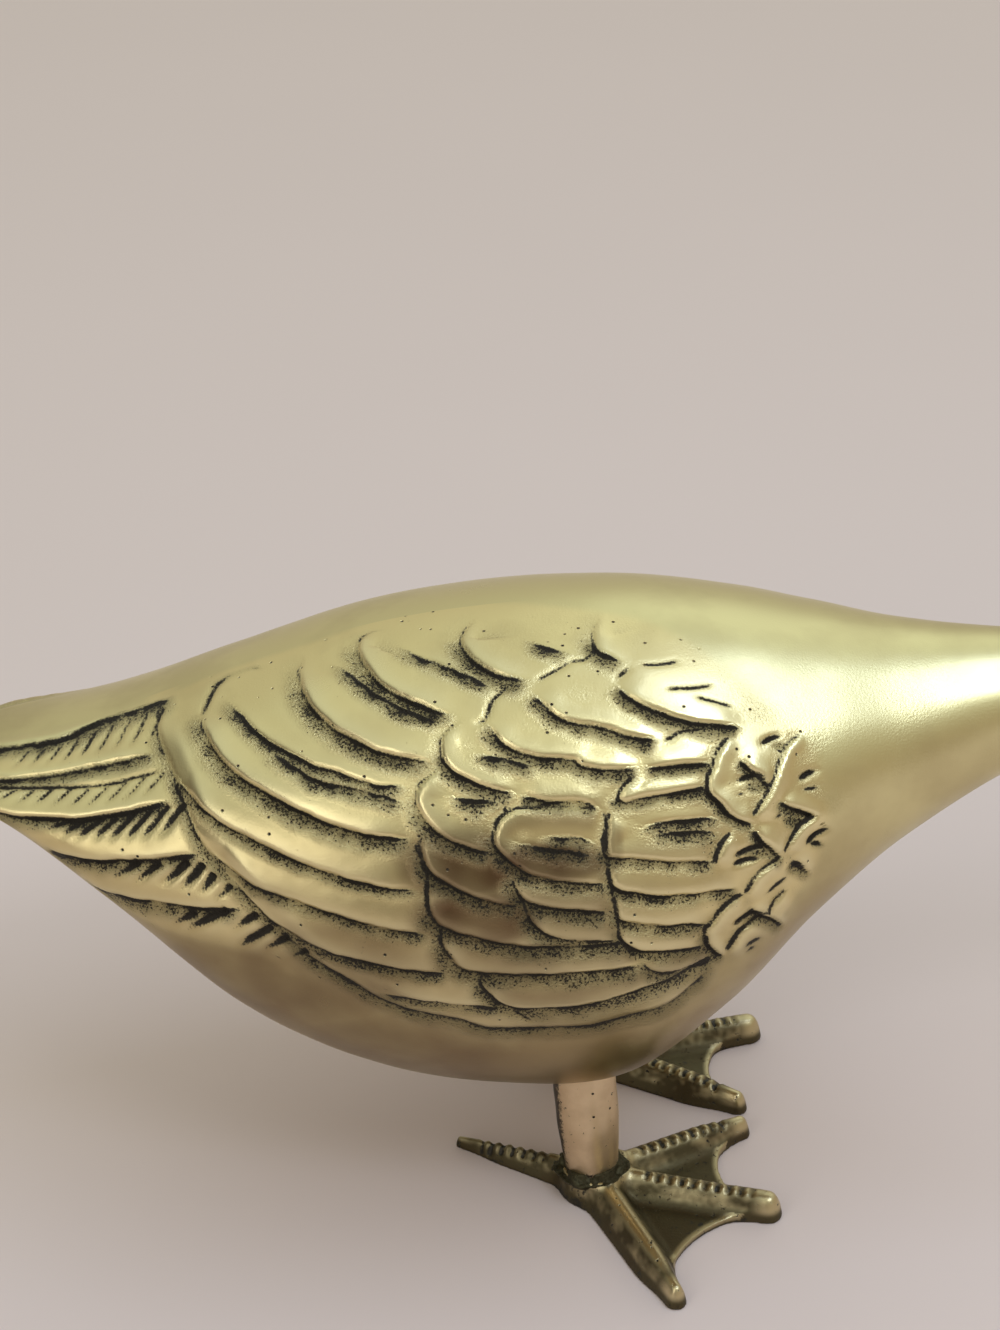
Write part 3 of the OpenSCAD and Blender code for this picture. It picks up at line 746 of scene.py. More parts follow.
def drawTail():
    feathered[insideLine(tail["back"] + tail["fifth"][::-1], photoU, photoV) & seen] = 1
    drawEdge(tail["back"], tail["top"])
    drawEdge(tail["first"], tail["thinEdge"])
    for name in ("second", "third", "fourth"):
        drawEdge(tail[name], tail["edge"])
    drawEdge(tail["fifth"], tail["soft"])
    drawGroove(tail["shaft"], tail["shaftGroove"])
    for upper, lower, start, end, count, lean, share, reach, style in tail["fans"]:
        top = smoothLine(tail[upper], 4.0).T
        bottom = smoothLine(tail[lower], 4.0).T
        for u in np.linspace(start, end, count):
            low = u - lean
            rootV = mix(np.interp(u, *top), np.interp(u, *bottom), share)
            endV = mix(np.interp(low, *top), np.interp(low, *bottom), reach)
            drawGroove([(u, rootV), (low, endV)], tail[style])
    for barb in tail["fourthBarbs"] + tail["fifthBarbs"]:
        drawGroove(barb, tail["deepBarb"])


drawTail()
print("tail feathers drawn")

# The wing's outline and its feathers, in photo pixels
wing = {
    "lift": 1.2,           # how far the wing stands proud, mm
    "outerSlope": 22,      # width of the rounded outer edge
    "frontSlope": 60,      # width over which the wing fades into breast and back
    "fadeAngle": 35,       # degrees from the back's seam over which it fades
    "outer": [(174, 694), (162, 707), (159, 724), (161, 741), (169, 760), (181, 791), (195, 827),
              (208, 850), (234, 879), (259, 906), (287, 934), (316, 959), (350, 979), (376, 995),
              (403, 1006), (430, 1013), (459, 1018), (486, 1026), (522, 1027), (584, 1025), (604, 1021),
              (625, 1015), (669, 1002), (714, 962)],
    "front": [(714, 962), (776, 919), (811, 873), (825, 830), (820, 780), (803, 734), (760, 700),
              (700, 650), (640, 620), (540, 605), (475, 605), (382, 620), (306, 645), (257, 660),
              (200, 680), (174, 694)],
    "rim": {"lift": 0.45, "dip": 0.45, "crest": 16, "hollow": 10, "edge": 4, "taper": 25, "wander": 0.8,
            "dark": 0.8, "shade": 6.5, "band": 9},
}


def raiseWing():
    inside = insideLine(wing["outer"] + wing["front"][1:-1], photoU, photoV) & seen
    slopes = np.ones(skin.shape[:2])
    for name in ("outer", "front"):
        width = wing[name + "Slope"]
        near, away = nearLine(wing[name], photoU, photoV, width)[:2]
        slopes[near] *= ease(away / width)
    fade = ease(np.degrees(rows) / wing["fadeAngle"])
    feathered[inside] = 1
    drawEdge(wing["outer"], wing["rim"])
    return np.where(inside, wing["lift"] * slopes * fade, 0)


wingRise = raiseWing()

# Feathers of the wing by kind. A feather lies on the left of its line, as it is drawn.
feathers = {
    "primaries": {
        "style": {"lift": 0.7, "dip": 0.8, "crest": 28, "hollow": 14, "edge": 3, "taper": 26,
                  "wander": 1.4, "dark": 0.95, "shade": 5.5, "band": 14},
        "third": [(207, 704), (203, 721), (214, 746), (233, 769), (253, 784), (288, 803), (322, 819),
                  (357, 831), (391, 836), (420, 838)],
        "fourth": [(306, 650), (301, 677), (310, 703), (331, 726), (357, 741), (382, 753), (419, 760),
                   (446, 767)],
        "fifth": [(390, 628), (368, 634), (359, 647), (364, 663), (375, 678), (390, 692), (416, 704),
                  (442, 714), (464, 719)],
        "sixth": [(480, 614), (463, 637), (466, 651), (478, 664), (495, 675), (516, 680), (538, 683)],
        "seventh": [(604, 610), (594, 634), (598, 650), (610, 657), (631, 669)],
    },
    # the lowest primaries lie close, with little grime and painted shade between them
    "lowest": {
        "style": {"lift": 0.7, "dip": 0.65, "crest": 26, "hollow": 11, "edge": 3, "taper": 26,
                  "wander": 1.2, "dark": 0.9, "shade": 5.2, "band": 9, "tan": 0.25},
        "lowestA": [(173, 766), (179, 778), (187, 790), (202, 806), (228, 825), (251, 836), (287, 854),
                    (314, 865), (341, 874), (368, 881), (394, 886), (428, 889)],
        "lowestB": [(204, 843), (226, 863), (251, 881), (278, 891), (314, 904), (350, 915), (385, 925),
                    (441, 932)],
        "lowestC": [(222, 866), (243, 891), (269, 918), (296, 934), (332, 949), (376, 959), (412, 966),
                    (462, 968)],
        "lowestD": [(372, 988), (412, 995), (459, 1000), (514, 1003)],
    },
    "quills": {
        "style": {"lift": 0.15, "dip": 0.75, "crest": 10, "hollow": 9, "edge": 3, "taper": 30,
                  "wander": 2.0, "dark": 1.0, "shade": 6.5, "band": 11},
        "third": [(224, 696), (246, 720), (264, 738), (286, 751), (314, 765), (339, 772), (374, 784),
                  (417, 787)],
        "thirdLow": [(264, 746), (301, 770), (322, 781), (357, 789), (417, 805)],
        "fourth": [(327, 662), (348, 672), (374, 693), (408, 712), (454, 727)],
        "fifth": [(391, 643), (416, 656), (442, 666), (461, 674), (504, 695)],
        "sixth": [(519, 638), (554, 651), (582, 658)],
        "firstCovert": [(466, 752), (485, 756), (515, 762), (548, 768)],
        "secondCovert": [(440, 796), (475, 799), (514, 803)],
        "secondCovertLow": [(456, 805), (499, 812)],
        "fourthCovert": [(530, 837), (574, 836), (606, 845)],
        "fourthCovertLow": [(506, 836), (523, 843), (566, 849), (606, 854)],
        "thirdRow": [(630, 831), (656, 822), (684, 818), (730, 816)],
        "thirdRowLow": [(638, 834), (684, 830), (730, 831)],
    },
    "coverts": {
        "style": {"lift": 0.55, "dip": 0.65, "crest": 19, "hollow": 10, "edge": 3, "taper": 14,
                  "wander": 1.4, "dark": 0.95, "shade": 5.5, "band": 12, "tan": 0.55},
        "scapularFirst": [(486, 720), (490, 727), (500, 740), (516, 751), (541, 757), (574, 760),
                          (582, 766), (616, 770), (641, 766)],
        "scapularSecond": [(533, 692), (537, 699), (547, 709), (561, 719), (580, 725), (599, 727),
                           (627, 736), (662, 742)],
        "scapularThird": [(614, 684), (619, 690), (636, 703), (665, 715), (698, 724), (732, 726),
                          (744, 732)],
        "first": [(466, 722), (447, 735), (443, 752), (449, 766), (461, 775), (482, 785), (500, 790),
                  (520, 793)],
        "second": [(446, 765), (428, 780), (418, 794), (420, 809), (430, 823), (447, 837), (463, 843),
                   (498, 854)],
        "third": [(516, 794), (549, 800), (582, 801), (604, 811)],
        "fourth": [(604, 812), (566, 808), (519, 810), (503, 818), (494, 833), (500, 849), (523, 868),
                   (549, 877), (582, 880), (613, 882)],
        "fifth": [(427, 828), (423, 849), (431, 869), (448, 881), (475, 894), (500, 901), (525, 902)],
        "sixth": [(510, 868), (513, 874), (523, 896), (541, 902), (566, 906), (613, 909)],
        "seventh": [(432, 872), (430, 894), (433, 916), (450, 926), (475, 934), (516, 942), (549, 943),
                    (599, 941), (629, 936)],
        "eighth": [(521, 893), (523, 897), (533, 919), (549, 931), (574, 936), (622, 936)],
        "ninth": [(440, 922), (445, 944), (456, 960), (471, 967), (512, 970), (563, 970), (604, 966),
                  (643, 960)],
        "tenth": [(478, 966), (488, 986), (512, 1002), (563, 1002), (604, 996), (645, 982), (686, 968),
                  (716, 957)],
    },
    # the rows before the shoulder's scales, with less painted brown reflection than the coverts
    "rows": {
        "style": {"lift": 0.6, "dip": 0.7, "crest": 19, "hollow": 10, "edge": 3, "taper": 14,
                  "wander": 1.4, "dark": 0.95, "shade": 5.5, "band": 10, "tan": 0.15},
        "rowFirst": [(638, 768), (667, 766), (694, 763), (716, 763)],
        "rowSecond": [(642, 770), (621, 793), (624, 801), (650, 795), (680, 791), (711, 784)],
        "rowThird": [(617, 806), (608, 822), (606, 853), (633, 856), (666, 859), (691, 859), (716, 858)],
        "rowFourth": [(609, 856), (613, 883), (641, 891), (666, 893), (691, 891), (740, 884)],
        "rowFifth": [(613, 886), (617, 912), (630, 919), (658, 922), (683, 921), (710, 920)],
        "rowSixth": [(618, 916), (622, 936), (641, 947), (666, 947), (691, 945), (708, 941)],
        "rowSeventh": [(636, 952), (650, 965), (670, 967), (693, 962), (718, 953)],
    },
    "joints": {
        "style": {"depth": 0.5, "width": 3.0, "taper": 14, "dark": 0.85, "shade": 5.5, "wander": 1.4},
        "thirdTop": [(264, 672), (257, 667), (236, 671), (217, 684), (208, 702), (203, 722)],
        "primaryEnds": [(414, 836), (423, 863), (428, 874), (427, 891), (432, 915), (441, 927),
                        (444, 945), (460, 964)],
        "fifthEnd": [(516, 684), (495, 700), (485, 721), (470, 724)],
        "sixthEnd": [(532, 686), (554, 673), (571, 664), (588, 659), (597, 640)],
        "seventhEnd": [(634, 667), (623, 675), (612, 686)],
        "secondEnd": [(512, 797), (498, 823), (493, 839), (499, 853)],
        "columnEnds": [(600, 806), (606, 823), (606, 853), (611, 883), (617, 912), (621, 938),
                       (640, 960)],
        "rowTop": [(657, 745), (679, 734), (703, 730), (730, 726)],
        "tenthEnd": [(508, 999), (522, 1013), (538, 1021)],
    },
    # small scales on the shoulder, and the cuts in them
    "scales": {
        "style": {"lift": 0.8, "dip": 0.8, "crest": 13, "hollow": 8, "edge": 2.5, "taper": 9,
                  "wander": 1.0, "dark": 1.0, "shade": 6, "band": 9},
        "firstLeft": [(732, 736), (721, 747), (715, 757), (712, 769), (707, 782), (710, 794), (720, 803),
                      (731, 815), (745, 821), (755, 824)],
        "second": [(736, 757), (751, 771), (762, 780), (774, 789)],
        "third": [(806, 731), (787, 746), (779, 763), (774, 777), (768, 790), (759, 805), (750, 820)],
        "fourth": [(774, 797), (788, 806), (801, 810), (814, 816), (801, 824), (793, 834), (785, 848),
                   (786, 856)],
        "fourthLeft": [(750, 824), (760, 838), (770, 847), (777, 854), (785, 857)],
        "fifthLeft": [(733, 827), (723, 840), (717, 852), (714, 868)],
        "fifth": [(784, 853), (762, 867), (753, 877), (748, 887), (740, 896)],
        "sixth": [(786, 858), (801, 867), (814, 876)],
        "seventh": [(790, 886), (778, 898), (771, 907), (765, 920)],
        "eighthLeft": [(746, 893), (733, 897), (721, 908), (710, 922), (705, 929), (708, 940), (713, 949),
                       (728, 959)],
        "eighth": [(746, 902), (760, 914), (770, 917), (787, 927)],
        "ninth": [(768, 914), (751, 923), (740, 932), (732, 945), (724, 956)],
    },
    "cuts": {
        "style": {"depth": 0.8, "width": 3.4, "taper": 14, "lead": 12, "dark": 1.05, "shade": 6.5,
                  "wander": 0.6},
        "firstUpper": [(732, 783), (744, 778), (755, 775), (768, 782)],
        "secondUpper": [(756, 747), (770, 739), (786, 734)],
        "thirdUpper": [(795, 783), (807, 774), (822, 770)],
        "fifthUpper": [(729, 857), (744, 849), (755, 845), (770, 846)],
        "fifthLower": [(727, 864), (745, 858), (763, 857)],
        "sixthUpper": [(803, 847), (816, 834), (834, 828)],
        "sixthLower": [(806, 844), (818, 844), (827, 848)],
        "eighthUpper": [(730, 928), (744, 917), (755, 912), (770, 916)],
        "sixthEnd": [(786, 859), (798, 864), (808, 873)],
    },
    "scratches": {
        "style": {"depth": 0.25, "width": 2.6, "taper": 12, "dark": 0.9, "shade": 5, "wander": 0.8},
        "first": [(730, 795), (748, 793)],
        "second": [(769, 746), (781, 752), (788, 746)],
        "third": [(797, 791), (812, 788), (824, 788)],
        "fourth": [(768, 820), (785, 809)],
        "seventh": [(790, 873), (770, 888), (761, 896)],
        "ninthA": [(741, 949), (751, 942), (766, 936)],
        "ninthB": [(742, 953), (760, 944)],
        "topA": [(636, 668), (660, 666), (684, 661)],
        "topB": [(662, 692), (690, 690), (718, 685)],
        "topC": [(690, 698), (708, 702), (737, 709)],
    },
}


def drawWing():
    for kind, lines in feathers.items():
        draw = drawGroove if kind in ("joints", "cuts", "scratches") else drawEdge
        for name, points in lines.items():
            if name != "style":
                draw(points, lines["style"])
        print(kind, "drawn,", len(lines) - 1, "lines")


drawWing()

# shallow hollows where the shoulder's scales lie under their neighbours, with grime and painted shade in
# them: middle and half size in photo pixels
scaleHollows = {
    "depth": 0.55, "grimeAndShade": 0.8, "reach": 1.4,
    "places": [((756, 786), (13, 8)), ((779, 746), (9, 5)), ((793, 820), (12, 9)), ((756, 852), (16, 5)),
               ((795, 870), (9, 6)), ((751, 919), (14, 6))],
}


def drawHollows():
    for (u, v), (wide, high) in scaleHollows["places"]:
        spot = ease(scaleHollows["reach"] - np.hypot((photoU - u) / wide, (photoV - v) / high))
        sunk[...] = np.maximum(sunk, scaleHollows["depth"] * spot * carved)
        grimeAndShade[...] = np.maximum(grimeAndShade, scaleHollows["grimeAndShade"] * spot * inked)


drawHollows()

# The head and bill, drawn from the side, in millimetres: X ahead of the head's start, and height over
# the axis of head and neck
face = {
    "eye": (21.0, 8.8), "eyeRadius": 2.3, "eyeRise": 0.8,
    "lidRadius": 3.1, "lidDepth": 0.4, "lidWidth": 0.5, "lidDark": 0.9,
    "groove": {"depth": 0.45, "width": 0.6, "taper": 1.5, "dark": 1.0, "shade": 1.3, "spacing": 0.5},
    "fold": {"lift": 0.6, "dip": 0.4, "crest": 2.8, "hollow": 1.8, "edge": 0.8, "taper": 2.0,
             "wander": 0.1, "dark": 0.75, "shade": 1.4, "band": 1.2, "spacing": 0.5},
    "mouth": [(54.6, -3.1), (50, -2.7), (44, -2.1), (38, -1.3), (32, -0.1), (28.5, 1.3)],
    "billBase": [(34.5, 14.8), (32.5, 10.8), (31.2, 6.3), (30.5, 2.3), (30.6, -1.7), (32.5, -5.7)],
    "nostril": [(38.5, 3.9), (41, 3.3), (43.6, 2.3)],
    "nail": [(51.6, 2.3), (50.8, 0.1), (51.2, -2.1)],
}


def drawFace():
    ahead, below = skin[..., 0] - headX, headAxis - skin[..., 2]
    whole = np.ones(skin.shape[:2])
    drawEdge([(x, -z) for x, z in face["billBase"]], face["fold"], ahead, below, whole, whole)
    for name in ("mouth", "nostril", "nail"):
        drawGroove([(x, -z) for x, z in face[name]], face["groove"], ahead, below, whole, whole)
    away = np.hypot(ahead - face["eye"][0], below + face["eye"][1])
    ball = np.sqrt(np.maximum(1 - (away / face["eyeRadius"]) ** 2, 0))
    lid = np.exp(-((away - face["lidRadius"]) / face["lidWidth"]) ** 2)
    raised[...] = np.maximum(raised, face["eyeRise"] * ball)
    sunk[...] = np.maximum(sunk, face["lidDepth"] * lid)
    recess[...] = np.maximum(recess, face["lidDark"] * lid)


drawFace()
print("face drawn")

# Places where a dark reflection of the surroundings is painted brown: middle and half size in photo pixels,
# strength
brown = {
    "reach": 1.2, "slope": 1.6, "even": 0.9, "patches": 0.2, "patchSize": 6,
    "places": [((462, 864), (70, 44), 1.0), ((548, 862), (70, 24), 1.0), ((480, 915), (78, 36), 0.95),
               ((560, 905), (60, 24), 0.6), ((612, 845), (12, 34), 0.5), ((500, 955), (95, 30), 0.6),
               ((330, 965), (120, 60), 0.6), ((230, 985), (130, 55), 0.42), ((390, 1055), (130, 45), 0.42)],
}


def drawBrown():
    for (u, v), (wide, high), strength in brown["places"]:
        away = np.hypot((photoU - u) / wide, (photoV - v) / high)
        spot = ease(brown["slope"] * (brown["reach"] - away))
        paintedDarkReflection[...] = np.maximum(paintedDarkReflection, strength * spot * facing)
    paintedDarkReflection[...] *= np.clip(brown["even"] + brown["patches"] * unevenness(brown["patchSize"], 3.9), 0, 1)


drawBrown()
print("brown places drawn")

# The skin's finish
finish = {
    "lumps": 0.07, "lumpSize": 9,      # unevenness left by hand polishing, mm
    "rough": 0.09, "roughSize": 1.1,   # the casting's own skin, left in the hollows
    "wear": 0.4, "wearReach": 4,       # a rim that stands this far over its surroundings is worn bright and given a painted highlight
    "settle": 0.7, "settleMost": 0.6,  # and dirt settles in a place that lies this far under them
    "featherSoft": 2,
}


def finishSkin(shown):
    # the relief and the masks of one half; shown says where its feathers are cut
    drawn = (wingRise + raised - sunk) * shown
    hollowed = grimeAndShade * shown
    relief = drawn + finish["lumps"] * unevenness(finish["lumpSize"], 1.7)
    relief += finish["rough"] * hollowed * unevenness(finish["roughSize"], 7.7)
    proud = relief - blurred(relief, finish["wearReach"])
    settled = np.clip(-proud / finish["settle"], 0, finish["settleMost"])
    masks = {
        "recess": recess * shown,
        "grimeAndShade": np.clip(np.maximum(hollowed, settled) * patchy, 0, 1),
        "rub": np.clip(proud / finish["wear"], 0, 1),
        "paintedDarkReflection": paintedDarkReflection * shown,
        "feathered": blurred(feathered, finish["featherSoft"]) * shown,
    }
    points = skin + relief[..., None] * skinNormal
    points[:, (0, -1), 1] = 0
    # level across the seam, so that the two halves run on into each other
    points[:wingColumn + 1, 1, 2] = points[:wingColumn + 1, 0, 2]
    points[wingColumn + 1:, grid["thin"], 2] = points[wingColumn + 1:, 0, 2]
    points[:, -2, 2] = points[:, -1, 2]
    print("relief from", round(relief.min(), 2), "to", round(relief.max(), 2), "mm")
    return points, masks


def cavityRing(i):
    axis, tall, wide = sections[i]
    angles = np.linspace(0, math.pi, grid["cavitySteps"] + 1)
    wall = casting["wall"]
    ring = np.stack([np.full(len(angles), columns[i]), -(wide - wall) * np.sin(angles),
                     axis + (tall - wall) * np.cos(angles)], -1)
    ring[(0, -1), 1] = 0
    return ring


def shellFaces():
    # faces of the right half, the points of its cavity, and the number of the first face on the seam
    deep = lastRow + 1
    thin = grid["thin"]
    fine = grid["fineSteps"]

    def at(i, j):
        return i * deep + j

    faces = []
    for i in range(wingColumn):
        for j in range(fine):
            faces.append((at(i, j), at(i, j + 1), at(i + 1, j + 1), at(i + 1, j)))
    for i in range(0, wingColumn, thin):
        top = [at(i + k, fine) for k in range(thin, -1, -1)]
        faces.append((*top, at(i, fine + 1), at(i + thin, fine + 1)))
        for j in range(fine + 1, lastRow):
            faces.append((at(i, j), at(i, j + 1), at(i + thin, j + 1), at(i + thin, j)))
    coarse = list(range(0, fine + 1, thin)) + list(range(fine + 1, lastRow + 1))
    for a, b in zip(coarse[:-1], coarse[1:]):
        edge = [at(wingColumn, j) for j in range(a, b + 1)]
        faces.append((*edge, at(wingColumn + 1, b), at(wingColumn + 1, a)))
        for i in range(wingColumn + 1, lastColumn):
            faces.append((at(i, a), at(i, b), at(i + 1, b), at(i + 1, a)))
    faces.append(tuple(at(0, j) for j in range(lastRow, -1, -1)))
    faces.append(tuple(at(lastColumn, j) for j in coarse))

    # the cavity, and the flat seam round it
    kept = list(range(0, wingColumn + 1, thin)) + list(range(wingColumn + 1, lastColumn + 1))
    least = casting["wall"] + grid["cavityLeast"]
    hollow = [n for n, i in enumerate(kept) if sections[i, 1:].min() >= least and columns[i] <= billX]
    first, last = hollow[0], hollow[-1]
    rings = [cavityRing(kept[n]) for n in range(first, last + 1)]
    start = skin.shape[0] * deep
    steps = grid["cavitySteps"]

    def inner(n, k):
        return start + (n - first) * (steps + 1) + k

    for n in range(first, last):
        for k in range(steps):
            faces.append((inner(n, k), inner(n + 1, k), inner(n + 1, k + 1), inner(n, k + 1)))
    faces.append(tuple(inner(first, k) for k in range(steps + 1)))
    faces.append(tuple(inner(last, k) for k in reversed(range(steps + 1))))
    seamFrom = len(faces)
    for n in range(len(kept) - 1):
        i, e = kept[n], kept[n + 1]
        back = [at(m, 0) for m in range(i, e + 1)]
        belly = [at(e, lastRow), at(i, lastRow)]
        if first <= n < last:
            faces.append((*back, inner(n + 1, 0), inner(n, 0)))
            faces.append((inner(n, steps), inner(n + 1, steps), *belly))
        elif n + 1 == first:
            faces.append((*back, inner(first, 0), inner(first, steps), *belly))
        elif n == last:
            faces.append((*back, *belly, inner(last, steps), inner(last, 0)))
        else:
            faces.append((*back, *belly))
    return faces, np.vstack(rings), seamFrom


def makeShells():
    faces, cavity, seamFrom = shellFaces()
    used = np.unique(np.concatenate([np.array(f) for f in faces]))
    number = np.full(skin.shape[0] * skin.shape[1] + len(cavity), -1)
    number[used] = np.arange(len(used))
    faces = [tuple(number[list(f)].tolist()) for f in faces]
    seam = np.arange(seamFrom, len(faces))
    # the flat seam has its own points, so that the skin's shading runs on past it
    rim = np.unique(np.concatenate([np.array(f) for f in faces[seamFrom:]]))
    number = np.full(len(used), -1)
    number[rim] = len(used) + np.arange(len(rim))
    faces[seamFrom:] = [tuple(number[list(f)].tolist()) for f in faces[seamFrom:]]
    used = np.concatenate([used, used[rim]])
    spare = np.zeros(len(cavity))
    for name, side, shown in (("right", 1, np.ones(skin.shape[:2])), ("left", -1, leftShown)):
        shaped, masks = finishSkin(shown)
        points = np.vstack([shaped.reshape(-1, 3), cavity])[used] * np.array([1, side, 1])
        values = {key: np.concatenate([mask.ravel(), spare])[used] for key, mask in masks.items()}
        turned = faces if side > 0 else [f[::-1] for f in faces]
        addPiece(name + "BodyHalf", points, turned, castBrass, name + "_body_shell",
                 values, seam)
    print("body halves made,", len(faces), "faces each")


makeShells()

# Legs, at the places that the solids have
leg = {
    "footRadius": 5.4, "radius": 6.2, "taper": 13, "lean": 5, "bottom": 2,
    "hub": 6,              # height of the foot's hub, where the taper starts
    "turns": 72, "steps": 60,
    "wobble": 0.12, "wobbleSize": 5.0,  # unevenness of the hand-filed rod
    # darker at the foot and in spots, and painted shade up the rear
    "lowDark": 0.75, "lowTo": 8.6, "lowRun": 1.6,
    "rearShade": 0.75, "rearFrom": 0.6, "rearRun": 0.5,
    "spotDark": 0.3, "spotSize": 2.5,
}
sides = {"right": -1, "left": 1}  # which way along Y each one lies
legTurn = math.radians(leg["lean"])
legLow, legHigh = (np.array(c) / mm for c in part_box("right_leg"))
legY = -(legLow[1] + legHigh[1]) / 2
legX = legHigh[0] - leg["footRadius"] * math.cos(legTurn) + leg["bottom"] * math.tan(legTurn)
legTop = (legHigh[2] - leg["radius"] * math.sin(legTurn)) / math.cos(legTurn)


def alongLeg(points, side):
    # from the leg's own axis to its place on the goose
    x, y, z = points[:, 0], points[:, 1], points[:, 2]
    return np.stack([legX + x * math.cos(legTurn) - z * math.sin(legTurn), side * legY + y,
                     x * math.sin(legTurn) + z * math.cos(legTurn)], -1)


def lathed(profile, turns):
    # points and faces of a turned solid; the profile runs up its outside, and both ends are closed
    angles = np.linspace(0, 2 * math.pi, turns, endpoint=False)
    points = np.array([(r * math.cos(a), r * math.sin(a), z) for r, z in profile for a in angles])
    faces = []
    for k in range(len(profile) - 1):
        for t in range(turns):
            n = (t + 1) % turns
            faces.append((k * turns + t, k * turns + n, (k + 1) * turns + n, (k + 1) * turns + t))
    faces.append(tuple(range(turns - 1, -1, -1)))
    faces.append(tuple((len(profile) - 1) * turns + t for t in range(turns)))
    return points, faces


def makeLegs():
    heights = np.linspace(leg["bottom"], legTop, leg["steps"] + 1)
    share = ease((heights - leg["hub"]) / leg["taper"])
    profile = list(zip(mix(leg["footRadius"], leg["radius"], share), heights))
    points, faces = lathed(profile, leg["turns"])
    for name, side in sides.items():
        lumps = softLumps(points, leg["wobbleSize"], 4.1 + side)
        ring = points.copy()
        ring[:, :2] *= (1 + leg["wobble"] * lumps / leg["radius"])[:, None]
        low = leg["lowDark"] * ease((leg["lowTo"] - points[:, 2]) / leg["lowRun"])
        # painted shade on the rear flank
        behind = -points[:, 0] / leg["footRadius"]
        rear = leg["rearShade"] * ease((behind - leg["rearFrom"]) / leg["rearRun"])
        spots = np.clip(softLumps(points, leg["spotSize"], 9.3 + side), 0, 1)
        dark = np.maximum(low, rear) + leg["spotDark"] * spots
        addPiece(name + "Leg", alongLeg(ring, side), faces, legBrass, name + "_leg",
                 {"recess": dark})
    print("legs made")


makeLegs()

# Braze round the foot of each leg: rough lumps on a hollow fillet
braze = {
    "outer": 7.2, "top": 7.6, "steps": 14, "turns": 96,
    "bite": 0.6, "sink": 1,  # how far it reaches into the leg and into the foot
    "lip": 0.4, "ledge": 0.3,
    "lump": 1.2, "lumpSize": 3.2, "fine": 0.5, "fineSize": 1.2, "lumpRise": 0.6,
}


def makeBraze():
    inner = leg["footRadius"] - braze["bite"]
    bottom = leg["hub"] - braze["sink"]
    angles = np.linspace(0, math.pi / 2, braze["steps"])
    rise = braze["top"] - leg["hub"]
    wide = braze["outer"] - leg["footRadius"] - braze["ledge"]
    fillet = [(braze["outer"] - wide * math.sin(a), leg["hub"] + rise * (1 - math.cos(a))) for a in angles]
    profile = [(inner, bottom), (braze["outer"] - braze["lip"], bottom)] + fillet + [(inner, braze["top"])]
    points, faces = lathed(profile, braze["turns"])
    outside = np.hypot(points[:, 0], points[:, 1]) > inner + 0.1
    for name, side in sides.items():
        lumps = softLumps(points, braze["lumpSize"], 6.6 + side)
        lumps = lumps + braze["fine"] * softLumps(points, braze["fineSize"], 2.2 + side)
        rough = points.copy()
        rough[outside, :2] *= (1 + braze["lump"] * lumps / braze["outer"])[outside, None]
        rough[outside, 2] += (braze["lumpRise"] * braze["lump"] * lumps)[outside]
        addPiece(name + "FootBraze", alongLeg(rough, side), faces, brazeMetal,
                 name + "_foot_braze")
    print("braze made")


makeBraze()

# Feet: toes are ridges with ribs across their crests, and the webs sink between them. Angles are
# counted outwards from straight ahead
foot = {
    "step": 0.36,           # size of the cells that the skin is drawn through
    "hubRadius": 7.2, "hubSlope": 0.12, "hubHeight": 6,
    "rootHalf": 5.2, "endHalf": 3.7, "endRadius": 3.4, "endHeight": 5.8,
    "web": 1.5, "scoop": 6, "blend": 2.0,
    "toes": {"outer": (39.5, 67), "middle": (38, 14), "inner": (None, -29)},
    "toeGap": 3,
    "points": {"outer": 0.6, "middle": 0.85, "inner": 0.6, "hind": 0.6},  # share of the width at the tip
    "hindLength": 31.5, "hindAngles": {"right": 206, "left": 170},
    "hindRadius": 2.1, "hindHalf": 1.7, "hindHeight": 3.1,
    "ribbed": ("middle", "inner", "hind"),
    "ribPitch": 2.4, "ribDepth": 0.6, "ribHalf": 1.7, "ribStart": 9.5, "ribLeave": 5,
    "ribFade": 2, "ribSoft": 0.7,
    "taperRun": 11, "bluntRun": 9,  # lengths over which a toe's end narrows, and its back grows blunt
    "tipBack": 3, "tipRun": 4,
    "room": 2,
}
# where the feet are rubbed bright, where they stay dark, and the painted shade low down in the webs;
# heights over the floor and runs
footWear = {
    "toeReach": 1.2, "webReach": 0.6,
    "tip": 0.85, "tipFrom": 1.4, "tipRun": 1.6,
    "crest": 0.7, "crestFrom": 4.4, "crestRun": 1.2,
    "side": 0.15, "sidePatches": 0.5, "sideMost": 0.55, "sideFrom": 1.9, "sideRun": 1.2,
    "rim": 0.65, "rimFrom": 0.6, "rimRun": 0.5, "rimWidth": 1.5, "rimFade": 1.1,
    "lumpSize": 4.0, "fine": 0.6, "fineSize": 1.3,
    "ribDark": 0.7, "hubDark": 0.5, "lowDark": 0.4, "lumpDark": 0.35, "rubbedClean": 0.8,
    "hubReach": 1.4, "hubRun": 10, "lowTo": 3.4, "lowRun": 3,
}


def smoothMin(a, b, blend):
    h = np.clip(0.5 + 0.5 * (b - a) / blend, 0, 1)
    return mix(b, a, h) - blend * h * (1 - h)


def toeEnds(name):
    ends = {}
    hindTurn = math.radians(foot["hindAngles"][name])
    for toe, (length, angle) in foot["toes"].items():
        turn = math.radians(angle)
        reach = (length - foot["endRadius"] if length
                 else (legY - foot["toeGap"] / 2 - foot["endRadius"]) / math.sin(-turn))
        ends[toe] = np.array([math.cos(turn), math.sin(turn)]) * reach
    reach = foot["hindLength"] - foot["hindRadius"]
    ends["hind"] = np.array([math.cos(hindTurn), math.sin(hindTurn)]) * reach
    return ends


